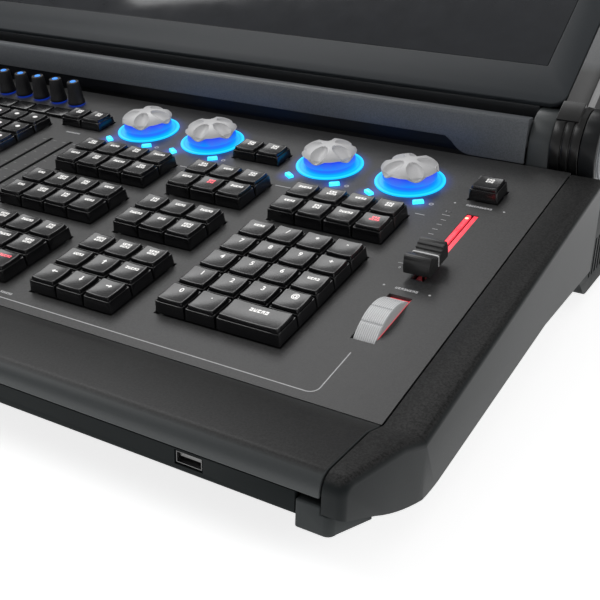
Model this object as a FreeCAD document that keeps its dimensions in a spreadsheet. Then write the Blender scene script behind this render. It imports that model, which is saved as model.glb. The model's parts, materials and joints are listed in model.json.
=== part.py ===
import FreeCAD, Part
import Sketcher
import math
import os
import re
from FreeCAD import Placement, Rotation, Vector

# Lighting control desk, in millimetres. X runs to the operator's right, Y away from
# the operator and Z up. The origin is on the floor under the middle of the desk.

DIMENSIONS = {
    "desk_width": 742,
    "desk_depth": 570,
    "foot_height": 7,
    "cheek_width": 20.4,
    "cheek_gap": 1,
    "panel_tilt": 10,
    "panel_sheet": 2,
    "panel_front": -29.3,
    "panel_back": 238.6,
    "panel_base_z": 57,
    "panel_base_y": -201.5,
    "wall": 3,
    "pan_sheet": 1.5,
    "key_pitch": 19,
    "playback_pitch": 18.4,
    "key_base": 18.4,
    "key_skirt_top": 17.5,
    "key_skirt_height": 6,
    "key_cap_base": 15.4,
    "key_cap_top": 13.4,
    "key_cap_height": 2.7,
    "compact_skirt_height": 4.5,
    "select_key_height": 2,
    "key_edge_radius": 0.5,
    "cutout_margin": 0.4,
    "slot_width": 3,
    "grand_slot_width": 7.2,
    "cap_width": 15,
    "encoder_ring_radius": 22.4,
    "encoder_radius": 18.5,
    "encoder_height": 16.2,
    "encoder_flute_radius": 4.2,
    "collar_radius": 13.8,
    "knob_foot_radius": 6.6,
    "knob_top_radius": 4.7,
    "knob_height": 19,
    "wheel_radius": 30,
    "wheel_width": 12.4,
    "wheel_slot_width": 13.2,
    "wheel_rise": 6.3,
    "hinge_y": 56.5,
    "hinge_z": 111,
    "hinge_radius": 23.8,
    "hinge_pin_radius": 7,
    "screen_elevation": 34,
    "screen_half_width": 334,
    "screen_start": 11,
    "screen_length": 211,
    "screen_face": 21.6,
    "screen_back_face": 2,
    "bezel_sheet": 4,
    "glass_half_width": 313,
    "glass_border_low": 33,
    "glass_length": 163,
    "rail_height": 28.4,
    "rail_thickness": 10,
}

doc = FreeCAD.newDocument("LightingDesk")
sheet = doc.addObject("Spreadsheet::Sheet", "Dims")
for row, (alias, value) in enumerate(DIMENSIONS.items(), start=1):
    sheet.set(f"A{row}", alias)
    sheet.set(f"B{row}", str(value))
    sheet.setAlias(f"B{row}", alias)
doc.recompute()

NODES = []
SIDES = ((1, "right"), (-1, "left"))
X_AXIS = Vector(1, 0, 0)
TINY = 0.3


def dim(alias):
    """The value of one cell of the sheet."""
    return float(sheet.get(alias))


def bind(obj, **sizes):
    """Bind properties to expressions written with the sheet's aliases."""
    for name, text in sizes.items():
        expression = re.sub(r"[a-z][a-z_]+", lambda word: "Dims." + word.group(), str(text))
        obj.setExpression(name, expression)
    return obj


def node(obj, label):
    """Name a finished sub-part; its label is its file name."""
    obj.Label = label
    NODES.append(obj)
    return obj


TILT = Rotation(X_AXIS, dim("panel_tilt"))
PANEL = Placement(Vector(0, dim("panel_base_y"), dim("panel_base_z")), TILT)
HINGE = Placement(Vector(0, dim("hinge_y"), dim("hinge_z")), Rotation(X_AXIS, dim("screen_elevation")))
PITCH = dim("key_pitch")
PLAYBACK_PITCH = dim("playback_pitch")
HALF_WIDTH = dim("desk_width") / 2
FRONT = -dim("desk_depth") / 2
BACK = dim("desk_depth") / 2
INNER = HALF_WIDTH - dim("cheek_width")
FLOOR = dim("foot_height")


def on_panel(across, up, height=0):
    """A placement on the sloping panel: across, up the slope, and off its surface."""
    return PANEL.multiply(Placement(Vector(across, up, height), Rotation()))


def box(name, place, **sizes):
    """A box whose Length, Width and Height are expressions, with its corner at place."""
    obj = doc.addObject("Part::Box", name)
    obj.Placement = place
    return bind(obj, **sizes)


def cylinder(name, place, **sizes):
    obj = doc.addObject("Part::Cylinder", name)
    obj.Placement = place
    return bind(obj, **sizes)


def at(x, y, z, rotation=None):
    return Placement(Vector(x, y, z), rotation or Rotation())


def along_x(x, y, z):
    """A placement whose own Z runs along +X."""
    return at(x, y, z, Rotation(Vector(0, 1, 0), 90))


def cut(name, base, tool):
    obj = doc.addObject("Part::Cut", name)
    obj.Base = base
    obj.Tool = tool
    return obj


def fuse(name, shapes):
    obj = doc.addObject("Part::MultiFuse", name)
    obj.Shapes = shapes
    return obj


def group(name, links):
    """Separate solids kept together in one sub-part."""
    obj = doc.addObject("Part::Compound", name)
    obj.Links = links
    return obj


def new_body(label, place=None):
    body = doc.addObject("PartDesign::Body", label)
    body.Placement = place or Placement()
    return node(body, label)


def sketch_on(body, name, role):
    plane = next(item for item in body.Origin.OriginFeatures if item.Role == role)
    sketch = body.newObject("Sketcher::SketchObject", name)
    sketch.AttachmentSupport = (plane, [""])
    sketch.MapMode = "FlatFace"
    return sketch


def outline(sketch, steps):
    """A closed outline. A step is a corner (x, y), or ((x, y), (x, y)): through, to."""
    last = steps[-1][1] if isinstance(steps[-1][0], tuple) else steps[-1]
    first = sketch.GeometryCount
    start = Vector(*last, 0)
    for step in steps:
        if isinstance(step[0], tuple):
            through, end = (Vector(*point, 0) for point in step)
            sketch.addGeometry(Part.Arc(start, through, end), False)
        else:
            end = Vector(*step, 0)
            sketch.addGeometry(Part.LineSegment(start, end), False)
        start = end
    return list(range(first, sketch.GeometryCount))


def rectangle(sketch, **edges):
    """A rectangle whose left, right, low and high edges are expressions."""
    guess = {"left": -1, "right": 1, "low": -1, "high": 1}
    corners = [("left", "low"), ("right", "low"), ("right", "high"), ("left", "high")]
    points = [Vector(guess[across], guess[up], 0) for across, up in corners]
    first = sketch.GeometryCount
    for index in range(4):
        sketch.addGeometry(Part.LineSegment(points[index], points[(index + 1) % 4]), False)
    for index in range(4):
        following = first + (index + 1) % 4
        sketch.addConstraint(Sketcher.Constraint("Coincident", first + index, 2, following, 1))
        direction = "Vertical" if index % 2 else "Horizontal"
        sketch.addConstraint(Sketcher.Constraint(direction, first + index))
    placed = {"left": ("DistanceX", 3), "right": ("DistanceX", 1),
              "low": ("DistanceY", 0), "high": ("DistanceY", 2)}
    for name, (kind, line) in placed.items():
        number = sketch.addConstraint(Sketcher.Constraint(kind, -1, 1, first + line, 1, guess[name]))
        bind(sketch, **{f"Constraints[{number}]": edges[name]})


def pad(body, sketch, length, symmetric=False, reverse=False):
    feature = body.newObject("PartDesign::Pad", sketch.Name + "_pad")
    feature.Profile = sketch
    feature.Midplane = symmetric
    feature.Reversed = reverse
    body.Tip = feature
    return bind(feature, Length=length)


def pocket(body, sketch, length=None, reverse=False, symmetric=False):
    feature = body.newObject("PartDesign::Pocket", sketch.Name + "_pocket")
    feature.Profile = sketch
    feature.Reversed = reverse
    feature.Midplane = symmetric
    if length is None:
        feature.Type = "ThroughAll"
    else:
        bind(feature, Length=length)
    body.Tip = feature
    return feature


def fillet(body, base, chosen, radius):
    """Round the edges of base whose middle point passes the test chosen(point, edge)."""
    doc.recompute()
    names = []
    for index, edge in enumerate(base.Shape.Edges, start=1):
        middle = edge.valueAt((edge.FirstParameter + edge.LastParameter) / 2)
        if chosen(middle, edge):
            names.append(f"Edge{index}")
    feature = body.newObject("PartDesign::Fillet", base.Name + "_fillet")
    feature.Base = (base, names)
    feature.Radius = radius
    body.Tip = feature
    return feature


# ---- casing ---------------------------------------------------------------------

PANEL_EDGE_Y = -230.4
PANEL_EDGE_Z = 51.9
REST_TOP_Z = 56.8
NOSE_RADIUS = 8
SEAM_Z = 46.3
CHEEK_TOE = (FRONT, 39.8)
CHEEK_HEEL = (-263.5, 31)
CHEEK_END_Y = 31
CHEEK_END_Z = 98


def nose_arc(offset=0):
    """The round nose at the front of the arm rest, from its top to its front face."""
    radius = NOSE_RADIUS - offset
    centre_y = FRONT + NOSE_RADIUS
    centre_z = REST_TOP_Z - NOSE_RADIUS
    diagonal = radius * math.sqrt(0.5)
    return ((centre_y - diagonal, centre_z + diagonal), (centre_y - radius, centre_z))


def make_cheek(label, side):
    """A side cheek: a long moulding that runs level with the panel, then over the arm rest."""
    outer = HALF_WIDTH if side > 0 else -INNER
    body = new_body(label, at(outer - dim("cheek_width"), 0, 0))
    profile = sketch_on(body, label + "_profile", "YZ_Plane")
    outline(profile, [
        CHEEK_TOE,
        CHEEK_HEEL,
        ((-241, 23), (-212, 20.8)),
        (-62.8, 37.5),
        (CHEEK_END_Y, 38),
        (CHEEK_END_Y, CHEEK_END_Z),
        (PANEL_EDGE_Y, PANEL_EDGE_Z),
        (-244, 55.8),
        (FRONT + NOSE_RADIUS, REST_TOP_Z),
        nose_arc(),
    ])
    solid = pad(body, profile, "cheek_width")
    plan = sketch_on(body, label + "_corner", "XY_Plane")
    width = dim("cheek_width")
    corner = [(width, PANEL_EDGE_Y), (width - 11.2, FRONT - 1), (width + 1, FRONT - 1)]
    if side < 0:
        corner = [(width - x, y) for x, y in corner]
    outline(plan, corner)
    solid = pocket(body, plan, reverse=True)
    outside = width if side > 0 else 0

    def top_outer(point, edge):
        near_side = abs(point.x - outside) < 12 and abs(point.x - (width - outside)) > 6
        along = edge.BoundBox.YLength > 1
        return near_side and along and point.z > 46

    fillet(body, solid, top_outer, 4)
    return body


def make_armrest():
    """The hollow arm rest between the cheeks, open underneath."""
    body = new_body("armrest")
    wall = dim("wall")
    profile = sketch_on(body, "armrest_profile", "YZ_Plane")
    inner = nose_arc(wall)
    outline(profile, [
        (-231, PANEL_EDGE_Z - 3.4),
        (-231, PANEL_EDGE_Z + 0.2),
        (-244, 55.8),
        (FRONT + NOSE_RADIUS, REST_TOP_Z),
        nose_arc(),
        (FRONT, SEAM_Z),
        (FRONT + wall, SEAM_Z),
        inner[1],
        (inner[0], (FRONT + NOSE_RADIUS, REST_TOP_Z - wall)),
        (-244, 55.8 - wall),
    ])
    pad(body, profile, "desk_width - 2 * cheek_width - 2 * cheek_gap", symmetric=True)


FASCIA_LOW = 34.5
FASCIA_HALF = 338.5
USB_X = 287
USB_Z = 41.6
USB_WIDTH = 14.5
USB_HEIGHT = 7.2


def make_fascia():
    """The lower front strip, with the opening for the USB socket."""
    body = new_body("front_fascia")
    wall = dim("wall")
    profile = sketch_on(body, "fascia_profile", "YZ_Plane")
    face = FRONT + 0.4
    outline(profile, [
        (face, FASCIA_LOW + 2),
        ((face + 0.6, FASCIA_LOW + 0.6), (face + 2, FASCIA_LOW)),
        (-272, FASCIA_LOW),
        (-272, FASCIA_LOW + wall),
        (face + wall, FASCIA_LOW + wall),
        (face + wall, SEAM_Z - 0.4),
        (face, SEAM_Z - 0.4),
    ])
    pad(body, profile, 2 * FASCIA_HALF, symmetric=True)
    mouth = sketch_on(body, "usb_mouth", "XZ_Plane")
    rectangle(
        mouth,
        left=USB_X - USB_WIDTH / 2,
        right=USB_X + USB_WIDTH / 2,
        low=USB_Z - USB_HEIGHT / 2,
        high=USB_Z + USB_HEIGHT / 2,
    )
    mouth.AttachmentOffset = at(0, 0, -FRONT - 5)
    pocket(body, mouth, 12, reverse=True)


BLOCK_LOW = 29.3
BLOCK_TOP = 43.1
BLOCK_INNER = 338.9
BLOCK_SPLIT = 350.4


def make_corner_block(side, name):
    """The blunt moulding under one cheek's front corner, level with the cheek's face."""
    body = doc.addObject("PartDesign::Body", f"block_{name}")
    plan = sketch_on(body, f"block_plan_{name}", "XY_Plane")
    plan.AttachmentOffset = at(0, 0, BLOCK_LOW)
    outline(plan, [
        (side * BLOCK_INNER, FRONT),
        (side * 351.5, FRONT),
        ((side * 354.6, FRONT + 1.1), (side * 356, FRONT + 3.8)),
        (side * 363.6, -264.2),
        (side * BLOCK_SPLIT, -264.2),
        (side * BLOCK_SPLIT, -271),
        (side * BLOCK_INNER, -271),
    ])
    pad(body, plan, BLOCK_TOP - BLOCK_LOW)
    under_cheek = sketch_on(body, f"block_top_{name}", "YZ_Plane")
    width = 20
    under_cheek.AttachmentOffset = at(0, 0, side * (BLOCK_SPLIT + width / 2))
    toe_y, toe_z = CHEEK_TOE
    heel_y, heel_z = CHEEK_HEEL
    rise = (toe_z - heel_z) / (heel_y - toe_y)
    past = 5
    outline(under_cheek, [
        (toe_y - past, toe_z + past * rise),
        (heel_y + past, heel_z - past * rise),
        (heel_y + past, BLOCK_TOP + past),
        (toe_y - past, BLOCK_TOP + past),
    ])
    pocket(body, under_cheek, width, symmetric=True)
    return body


def make_corner_blocks():
    blocks = [make_corner_block(side, name) for side, name in SIDES]
    node(group("corner_blocks", blocks), "corner_blocks")


def make_base_pan():
    """The folded tray under the desk, with a sloping front and open at the top."""
    body = new_body("base_pan")
    profile = sketch_on(body, "pan_profile", "YZ_Plane")
    slope = math.tan(math.radians(dim("panel_tilt")))
    front_top = 47.5
    back_top = front_top + slope * (25 + 228)
    outline(profile, [
        (-236, FLOOR),
        (-270, 33.5),
        (-270, 38.5),
        (-228, front_top),
        (25, back_top),
        (25, 84),
        (BACK - 4, 84),
        (BACK - 4, FLOOR),
    ])
    pad(body, profile, "desk_width - 2 * cheek_width - 2 * cheek_gap - 1", symmetric=True)
    hollow = sketch_on(body, "pan_hollow", "YZ_Plane")
    sheet_metal = dim("pan_sheet")
    outline(hollow, [
        (-235, FLOOR + sheet_metal),
        (-268.5, 34),
        (-268.5, 120),
        (BACK, 120),
        (BACK, FLOOR + sheet_metal),
    ])
    inside = "desk_width - 2 * cheek_width - 2 * cheek_gap - 1 - 2 * pan_sheet"
    pocket(body, hollow, inside, symmetric=True)


def make_feet():
    feet = []
    for x in (-300, 300):
        for y in (-205, 245):
            foot = doc.addObject("Part::Cone", f"foot_{x + 300}_{y + 205}")
            foot.Placement = at(x, y, 0)
            feet.append(bind(foot, Radius1=10, Radius2=12, Height="foot_height"))
    node(group("rubber_feet", feet), "rubber_feet")


def make_bottom_screws():
    """Pan head screws that hold the base pan to the cheeks and the deck."""
    screws = []
    for side in (-1, 1):
        for number in range(5):
            place = at(side * 335, -180 + 105 * number, FLOOR - 1.8)
            head = cylinder(f"screw_head_{side + 1}_{number}", place, Radius=3, Height=1.8)
            recess = cylinder(f"screw_recess_{side + 1}_{number}", place, Radius=1.2, Height=0.8)
            screws.append(cut(f"screw_{side + 1}_{number}", head, recess))
    node(group("bottom_screws", screws), "bottom_screws")


# ---- rear of the desk -----------------------------------------------------------

RAIL_FRONT = 34.1
RAIL_BASE_Z = 98.9
RAIL_HALF = 318.6
MOUTH_TOP_Z = 109.3
MOUTH_DEPTH = 7.5


def make_rail():
    """The ledge behind the panel, with a long shallow mouth along its foot."""
    body = new_body("rear_rail")
    top = RAIL_BASE_Z + dim("rail_height")
    back = RAIL_FRONT + dim("rail_thickness")
    profile = sketch_on(body, "rail_profile", "YZ_Plane")
    outline(profile, [
        (RAIL_FRONT, RAIL_BASE_Z),
        (RAIL_FRONT, top - 3.2),
        ((RAIL_FRONT + 0.9, top - 0.9), (RAIL_FRONT + 3, top)),
        (back - 1.6, top),
        ((back - 0.5, top - 0.5), (back, top - 1.6)),
        (back, RAIL_BASE_Z),
    ])
    pad(body, profile, 2 * RAIL_HALF, symmetric=True)
    mouth = sketch_on(body, "rail_mouth", "XZ_Plane")
    outline(mouth, [
        (-284, RAIL_BASE_Z - 1),
        (-284, RAIL_BASE_Z),
        ((-274, RAIL_BASE_Z + 2.5), (-269, RAIL_BASE_Z + 7)),
        (-264, MOUTH_TOP_Z),
        (264, MOUTH_TOP_Z),
        (269, RAIL_BASE_Z + 7),
        ((274, RAIL_BASE_Z + 2.5), (284, RAIL_BASE_Z)),
        (284, RAIL_BASE_Z - 1),
    ])
    mouth.AttachmentOffset = at(0, 0, -(RAIL_FRONT + MOUTH_DEPTH))
    pocket(body, mouth, MOUTH_DEPTH + 2, reverse=True)


DECK_FRONT = 45
DECK_Z = 104.5


def make_deck():
    """The plate under the screen, folded down behind the rail."""
    body = new_body("rear_deck")
    profile = sketch_on(body, "deck_profile", "YZ_Plane")
    outline(profile, [
        (DECK_FRONT, 86),
        (DECK_FRONT, DECK_Z + 2),
        (BACK - 4, DECK_Z + 2),
        (BACK - 4, DECK_Z),
        (DECK_FRONT + 2, DECK_Z),
        (DECK_FRONT + 2, 86),
    ])
    pad(body, profile, 634, symmetric=True)
    rear = sketch_on(body, "deck_shoulder_profile", "YZ_Plane")
    outline(rear, [(82, DECK_Z), (82, DECK_Z + 2), (BACK - 4, DECK_Z + 2), (BACK - 4, DECK_Z)])
    pad(body, rear, 698, symmetric=True)


REAR_CONNECTORS_Z = 62


def make_rear_panel():
    """The connector plate across the back."""
    body = new_body("rear_panel")
    plate = sketch_on(body, "rear_plate", "XZ_Plane")
    rectangle(plate, left=-349, right=349, low=11, high=DECK_Z + 2)
    plate.AttachmentOffset = at(0, 0, -BACK)
    pad(body, plate, "panel_sheet + 1.5")
    holes = sketch_on(body, "rear_holes", "XZ_Plane")
    holes.AttachmentOffset = at(0, 0, -BACK)
    for x in XLR_POSITIONS:
        rim = Part.Circle(Vector(x, REAR_CONNECTORS_Z, 0), Vector(0, 0, 1), XLR_RADIUS + TINY)
        holes.addGeometry(rim, False)
    for x, width, height in DATA_PORTS:
        outline(holes, block_corners(x, REAR_CONNECTORS_Z, width + 0.6, height + 0.6))
    outline(holes, block_corners(INLET_X, REAR_CONNECTORS_Z, INLET_WIDTH + 0.6, INLET_HEIGHT + 0.6))
    pocket(body, holes, 10, reverse=True)


XLR_RADIUS = 11.5
XLR_POSITIONS = [-60, -90, -120, -150]
ETHERNET = (16, 14)
USB_TYPE_A = (13.5, 6.2)
VIDEO = (16.5, 6.5)
DATA_PORTS = [(x, *ETHERNET) for x in (20, 42, 64, 86)]
DATA_PORTS += [(x, *USB_TYPE_A) for x in (112, 132)]
DATA_PORTS += [(x, *VIDEO) for x in (158, 182)]
INLET_X = -285
INLET_WIDTH = 48
INLET_HEIGHT = 28


def block_corners(x, y, width, height):
    """The corners of a rectangle around its middle."""
    left, right = x - width / 2, x + width / 2
    low, high = y - height / 2, y + height / 2
    return [(left, low), (right, low), (right, high), (left, high)]


def make_xlr_outputs():
    """Four five pin output sockets, round shells with a flange inside the plate."""
    sockets = []
    for number, x in enumerate(XLR_POSITIONS):
        place = at(x, BACK - 20, REAR_CONNECTORS_Z, Rotation(X_AXIS, -90))
        shell = cylinder(f"xlr_shell_{number}", place, Radius=XLR_RADIUS, Height=20)
        bore_place = at(x, BACK - 14, REAR_CONNECTORS_Z, Rotation(X_AXIS, -90))
        bore = cylinder(f"xlr_bore_{number}", bore_place, Radius=XLR_RADIUS - 2, Height=20)
        hollow = cut(f"xlr_hollow_{number}", shell, bore)
        pins = []
        for pin in range(5):
            angle = math.radians(36 + 72 * pin)
            spot = at(x + 4.5 * math.cos(angle), BACK - 16, REAR_CONNECTORS_Z + 4.5 * math.sin(angle),
                      Rotation(X_AXIS, -90))
            pins.append(cylinder(f"xlr_pin_{number}_{pin}", spot, Radius=1, Height=9.5))
        sockets.append(fuse(f"xlr_{number}", [hollow] + pins))
    node(group("xlr_outputs", sockets), "xlr_outputs")


def make_data_ports():
    """Ethernet, USB and video sockets: metal shells, each with an open mouth."""
    ports = []
    for number, (x, width, height) in enumerate(DATA_PORTS):
        corner = at(x - width / 2, BACK - 16, REAR_CONNECTORS_Z - height / 2)
        shell = box(f"port_shell_{number}", corner, Length=width, Width=16, Height=height)
        mouth_corner = at(x - width / 2 + 0.8, BACK - 13, REAR_CONNECTORS_Z - height / 2 + 0.8)
        mouth = box(f"port_mouth_{number}", mouth_corner, Length=width - 1.6, Width=14, Height=height - 1.6)
        ports.append(cut(f"port_{number}", shell, mouth))
    node(group("data_ports", ports), "data_ports")


def make_power_inlet():
    """A mains inlet with three blades, beside its rocker switch opening."""
    low = REAR_CONNECTORS_Z - INLET_HEIGHT / 2
    left = INLET_X - INLET_WIDTH / 2
    block = box("inlet_block", at(left, BACK - 24, low), Length=INLET_WIDTH, Width=24, Height=INLET_HEIGHT)
    well = box("inlet_well", at(left + 3, BACK - 16, low + 5), Length=25, Width=20, Height=18)
    switch_well = box("switch_well", at(left + 30, BACK - 5, low + 4), Length=15, Width=10, Height=20)
    blades = []
    for number, x in enumerate((left + 8.5, left + 15.5, left + 22.5)):
        corner = at(x - 1, BACK - 17, low + 10 + 4 * (number % 2))
        blades.append(box(f"inlet_blade_{number}", corner, Length=2, Width=10.5, Height=4))
    hollow = cut("inlet_hollow", cut("inlet_block_with_switch", block, switch_well), well)
    rocker = box("inlet_rocker", at(left + 31, BACK - 6, low + 5), Length=13, Width=5, Height=18)
    node(fuse("power_inlet", [hollow, rocker] + blades), "power_inlet")


def make_rear_side(label, side):
    """A rear side cover that bulges below the cheek, with upright vents."""
    body = new_body(label, at(350 if side > 0 else -364.6, 0, 0))
    thick = 14.6
    profile = sketch_on(body, label + "_profile", "YZ_Plane")
    outline(profile, [
        (3.5, 37.6),
        ((26, 31), (46, 17)),
        ((52, 12.6), (60, 11)),
        (BACK - 4, 11),
        (BACK, 15),
        (BACK, 104),
        (BACK - 5, 109),
        (86, 109),
        (81, 104),
        (81, 84),
        (CHEEK_END_Y + 0.6, 84),
        (CHEEK_END_Y + 0.6, 37.6),
    ])
    pad(body, profile, thick)
    vents = sketch_on(body, label + "_vents", "YZ_Plane")
    for number in range(VENT_COUNT):
        y = VENT_START + VENT_STEP * number
        outline(vents, [(y, 22), (y + VENT_WIDTH, 22), (y + VENT_WIDTH, 48), (y, 48)])
    pocket(body, vents, thick + 1, reverse=True)


VENT_COUNT = 12
VENT_START = 58
VENT_STEP = 7
VENT_WIDTH = 3


# ---- hinge and screen -----------------------------------------------------------

BRACKET_X = 319.2
BRACKET_WIDTH = 14.4
CROWN_RADIUS = 20.3
POST_BASE_Z = 86
RING_X = 334.2
RING_WIDTH = 18.2
COVER_X = 352.8
COVER_WIDTH = 10.4
COVER_DISC = 1.6
PIN_END = 361.4


def mirrored_x(side, near, width):
    """The low end, in X, of a piece that starts at near on the right side."""
    return near if side > 0 else -near - width


def make_hinge_brackets():
    """Fixed arches beside the screen hinges, each with the pin that the screen turns on."""
    brackets = []
    hinge_y, hinge_z = dim("hinge_y"), dim("hinge_z")
    for side, name in SIDES:
        near = mirrored_x(side, BRACKET_X, BRACKET_WIDTH)
        post = box(f"post_{name}", at(near, hinge_y - CROWN_RADIUS, POST_BASE_Z),
                   Length=BRACKET_WIDTH, Width=2 * CROWN_RADIUS, Height=hinge_z - POST_BASE_Z)
        crown = cylinder(f"crown_{name}", along_x(near, hinge_y, hinge_z),
                         Radius=CROWN_RADIUS, Height=BRACKET_WIDTH)
        pin_length = PIN_END - BRACKET_X
        pin = cylinder(f"pin_{name}", along_x(mirrored_x(side, BRACKET_X, pin_length), hinge_y, hinge_z),
                       Radius="hinge_pin_radius", Height=pin_length)
        brackets.append(fuse(f"bracket_{name}", [post, crown, pin]))
    node(group("hinge_brackets", brackets), "hinge_brackets")


def make_hinge_covers():
    """The outer drum on each hinge pin, with a raised disc on its end."""
    covers = []
    hinge_y, hinge_z = dim("hinge_y"), dim("hinge_z")
    for side, name in SIDES:
        near = mirrored_x(side, COVER_X, COVER_WIDTH)
        drum = cylinder(f"drum_{name}", along_x(near, hinge_y, hinge_z),
                        Radius="hinge_radius", Height=COVER_WIDTH)
        disc_x = mirrored_x(side, COVER_X + COVER_WIDTH, COVER_DISC)
        disc = cylinder(f"disc_{name}", along_x(disc_x, hinge_y, hinge_z),
                        Radius="hinge_radius - 4", Height=COVER_DISC)
        solid = fuse(f"drum_disc_{name}", [drum, disc])
        seat_length = PIN_END - COVER_X + TINY
        seat_x = mirrored_x(side, COVER_X, seat_length)
        seat = cylinder(f"drum_seat_{name}", along_x(seat_x, hinge_y, hinge_z),
                        Radius="hinge_pin_radius", Height=seat_length)
        covers.append(cut(f"cover_{name}", solid, seat))
    node(group("hinge_covers", covers), "hinge_covers")


def screen_box(name, x, along, off, **sizes):
    """A box in the screen's own frame: across, up the screen, and off the hinge axis."""
    return box(name, HINGE.multiply(at(x, along, off)), **sizes)


GROOVE_OFFSETS = (6.2, 11.6)
GROOVE_WIDTH = 1.2
ARM_WIDTH = 14.4
RING_CLEARANCE = 0.4


def grooved_ring(side, name):
    """A ring with two turned grooves around it."""
    place = HINGE.multiply(along_x(mirrored_x(side, RING_X, RING_WIDTH), 0, 0))
    ring = cylinder(f"ring_{name}", place, Radius="hinge_radius", Height=RING_WIDTH)
    for number, offset in enumerate(GROOVE_OFFSETS):
        low = mirrored_x(side, RING_X + offset, GROOVE_WIDTH)
        band = cylinder(f"band_{name}_{number}", HINGE.multiply(along_x(low, 0, 0)),
                        Radius="hinge_radius + 1", Height=GROOVE_WIDTH)
        core = cylinder(f"core_{name}_{number}", HINGE.multiply(along_x(low - 1, 0, 0)),
                        Radius="hinge_radius - 1", Height=GROOVE_WIDTH + 2)
        ring = cut(f"ring_{name}_grooved_{number}", ring, cut(f"groove_{name}_{number}", band, core))
    return ring


def make_screen_arms():
    """The ring and the arm at each end of the screen."""
    arms = []
    for side, name in SIDES:
        arm_x = mirrored_x(side, RING_X, ARM_WIDTH)
        arm = screen_box(f"arm_{name}", arm_x, 10, 6.5, Length=ARM_WIDTH, Width=96, Height=14.3)
        root = screen_box(f"arm_root_{name}", arm_x, -4, 12, Length=ARM_WIDTH, Width=16, Height=13)
        joined = fuse(f"arm_ring_{name}", [grooved_ring(side, name), arm, root])
        bore_x = mirrored_x(side, RING_X - 5, RING_WIDTH + 10)
        bore = cylinder(f"bore_{name}", HINGE.multiply(along_x(bore_x, 0, 0)),
                        Radius=f"hinge_pin_radius + {RING_CLEARANCE}", Height=RING_WIDTH + 10)
        arms.append(cut(f"screen_arm_{name}", joined, bore))
    node(group("screen_arms", arms), "screen_arms")


def make_screen_bezel():
    body = new_body("screen_bezel", HINGE)
    front = sketch_on(body, "bezel_front", "XY_Plane")
    rectangle(front, left="-screen_half_width", right="screen_half_width",
              low="screen_start", high="screen_start + screen_length")
    front.AttachmentOffset = at(0, 0, dim("screen_face") - dim("bezel_sheet"))
    sheet_pad = pad(body, front, "bezel_sheet")
    fillet(body, sheet_pad, lambda point, edge: edge.BoundBox.ZLength > 3 and edge.Length < 6, 9)
    window = sketch_on(body, "bezel_window", "XY_Plane")
    rectangle(window, left="-glass_half_width", right="glass_half_width",
              low="screen_start + glass_border_low", high="screen_start + glass_border_low + glass_length")
    window.AttachmentOffset = at(0, 0, dim("screen_face"))
    pocket(body, window, 10)


def make_screen_glass():
    body = new_body("screen_glass", HINGE)
    face = sketch_on(body, "glass_face", "XY_Plane")
    rectangle(face, left="-glass_half_width + 0.2", right="glass_half_width - 0.2",
              low="screen_start + glass_border_low + 0.2",
              high="screen_start + glass_border_low + glass_length - 0.2")
    face.AttachmentOffset = at(0, 0, dim("screen_face") - 3.4)
    pad(body, face, 3)


NOTCH_X = 318.4
NOTCH_TOP = 21


def make_screen_back():
    """The rear shell of the screen, rounded at its back edges and hollow."""
    body = new_body("screen_back", HINGE)
    outer = sketch_on(body, "back_outer", "XY_Plane")
    rectangle(outer, left="-screen_half_width", right="screen_half_width",
              low="screen_start", high="screen_start + screen_length")
    outer.AttachmentOffset = at(0, 0, dim("screen_back_face"))
    depth = "screen_face - bezel_sheet - screen_back_face"
    shell = pad(body, outer, depth)
    corners = fillet(body, shell, lambda point, edge: edge.BoundBox.ZLength > 10, 9)
    fillet(body, corners, lambda point, edge: abs(point.z - dim("screen_back_face")) < 0.01, 4)
    hollow = sketch_on(body, "back_hollow", "XY_Plane")
    rectangle(hollow, left="-screen_half_width + wall + 4", right="screen_half_width - wall - 4",
              low="screen_start + wall + 4", high="screen_start + screen_length - wall - 4")
    hollow.AttachmentOffset = at(0, 0, dim("screen_face") - dim("bezel_sheet"))
    pocket(body, hollow, depth + " - wall")
    notches = sketch_on(body, "back_notches", "XY_Plane")
    low = dim("screen_start") - 1
    width = dim("screen_half_width") + 1 - NOTCH_X
    for side, name in SIDES:
        left = mirrored_x(side, NOTCH_X, width)
        outline(notches, [(left, low), (left + width, low), (left + width, NOTCH_TOP), (left, NOTCH_TOP)])
    notches.AttachmentOffset = at(0, 0, dim("screen_face"))
    pocket(body, notches, 40)


def make_display_panels():
    """Two flat display modules side by side behind the glass."""
    panels = []
    for number, x in enumerate((-306, 6)):
        panels.append(screen_box(f"display_{number}", x, 47, 9, Length=300, Width=157, Height=7))
    node(group("display_panels", panels), "display_panels")


# ---- keys -----------------------------------------------------------------------

def wedge(name, base_across, base_up, top_across, top_up, low, height):
    """A tapering block that stands on its base, centred on its own Z axis."""
    obj = doc.addObject("Part::Wedge", name)
    obj.Placement = at(0, 0, low, Rotation(X_AXIS, 90))
    bind(obj, Xmin=f"-({base_across}) / 2", Xmax=f"({base_across}) / 2")
    bind(obj, Zmin=f"-({base_up}) / 2", Zmax=f"({base_up}) / 2")
    bind(obj, X2min=f"-({top_across}) / 2", X2max=f"({top_across}) / 2")
    bind(obj, Z2min=f"-({top_up}) / 2", Z2max=f"({top_up}) / 2")
    return bind(obj, Ymin=0, Ymax=height)


KEY_DISH_RADIUS = 40
WIDE_DISH_RADIUS = 160
COMPACT_DISH_RADIUS = 36
DISH_DEPTH = 0.5
DISH_SPAN = 40
NECK_HEIGHT = 0.5


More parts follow.
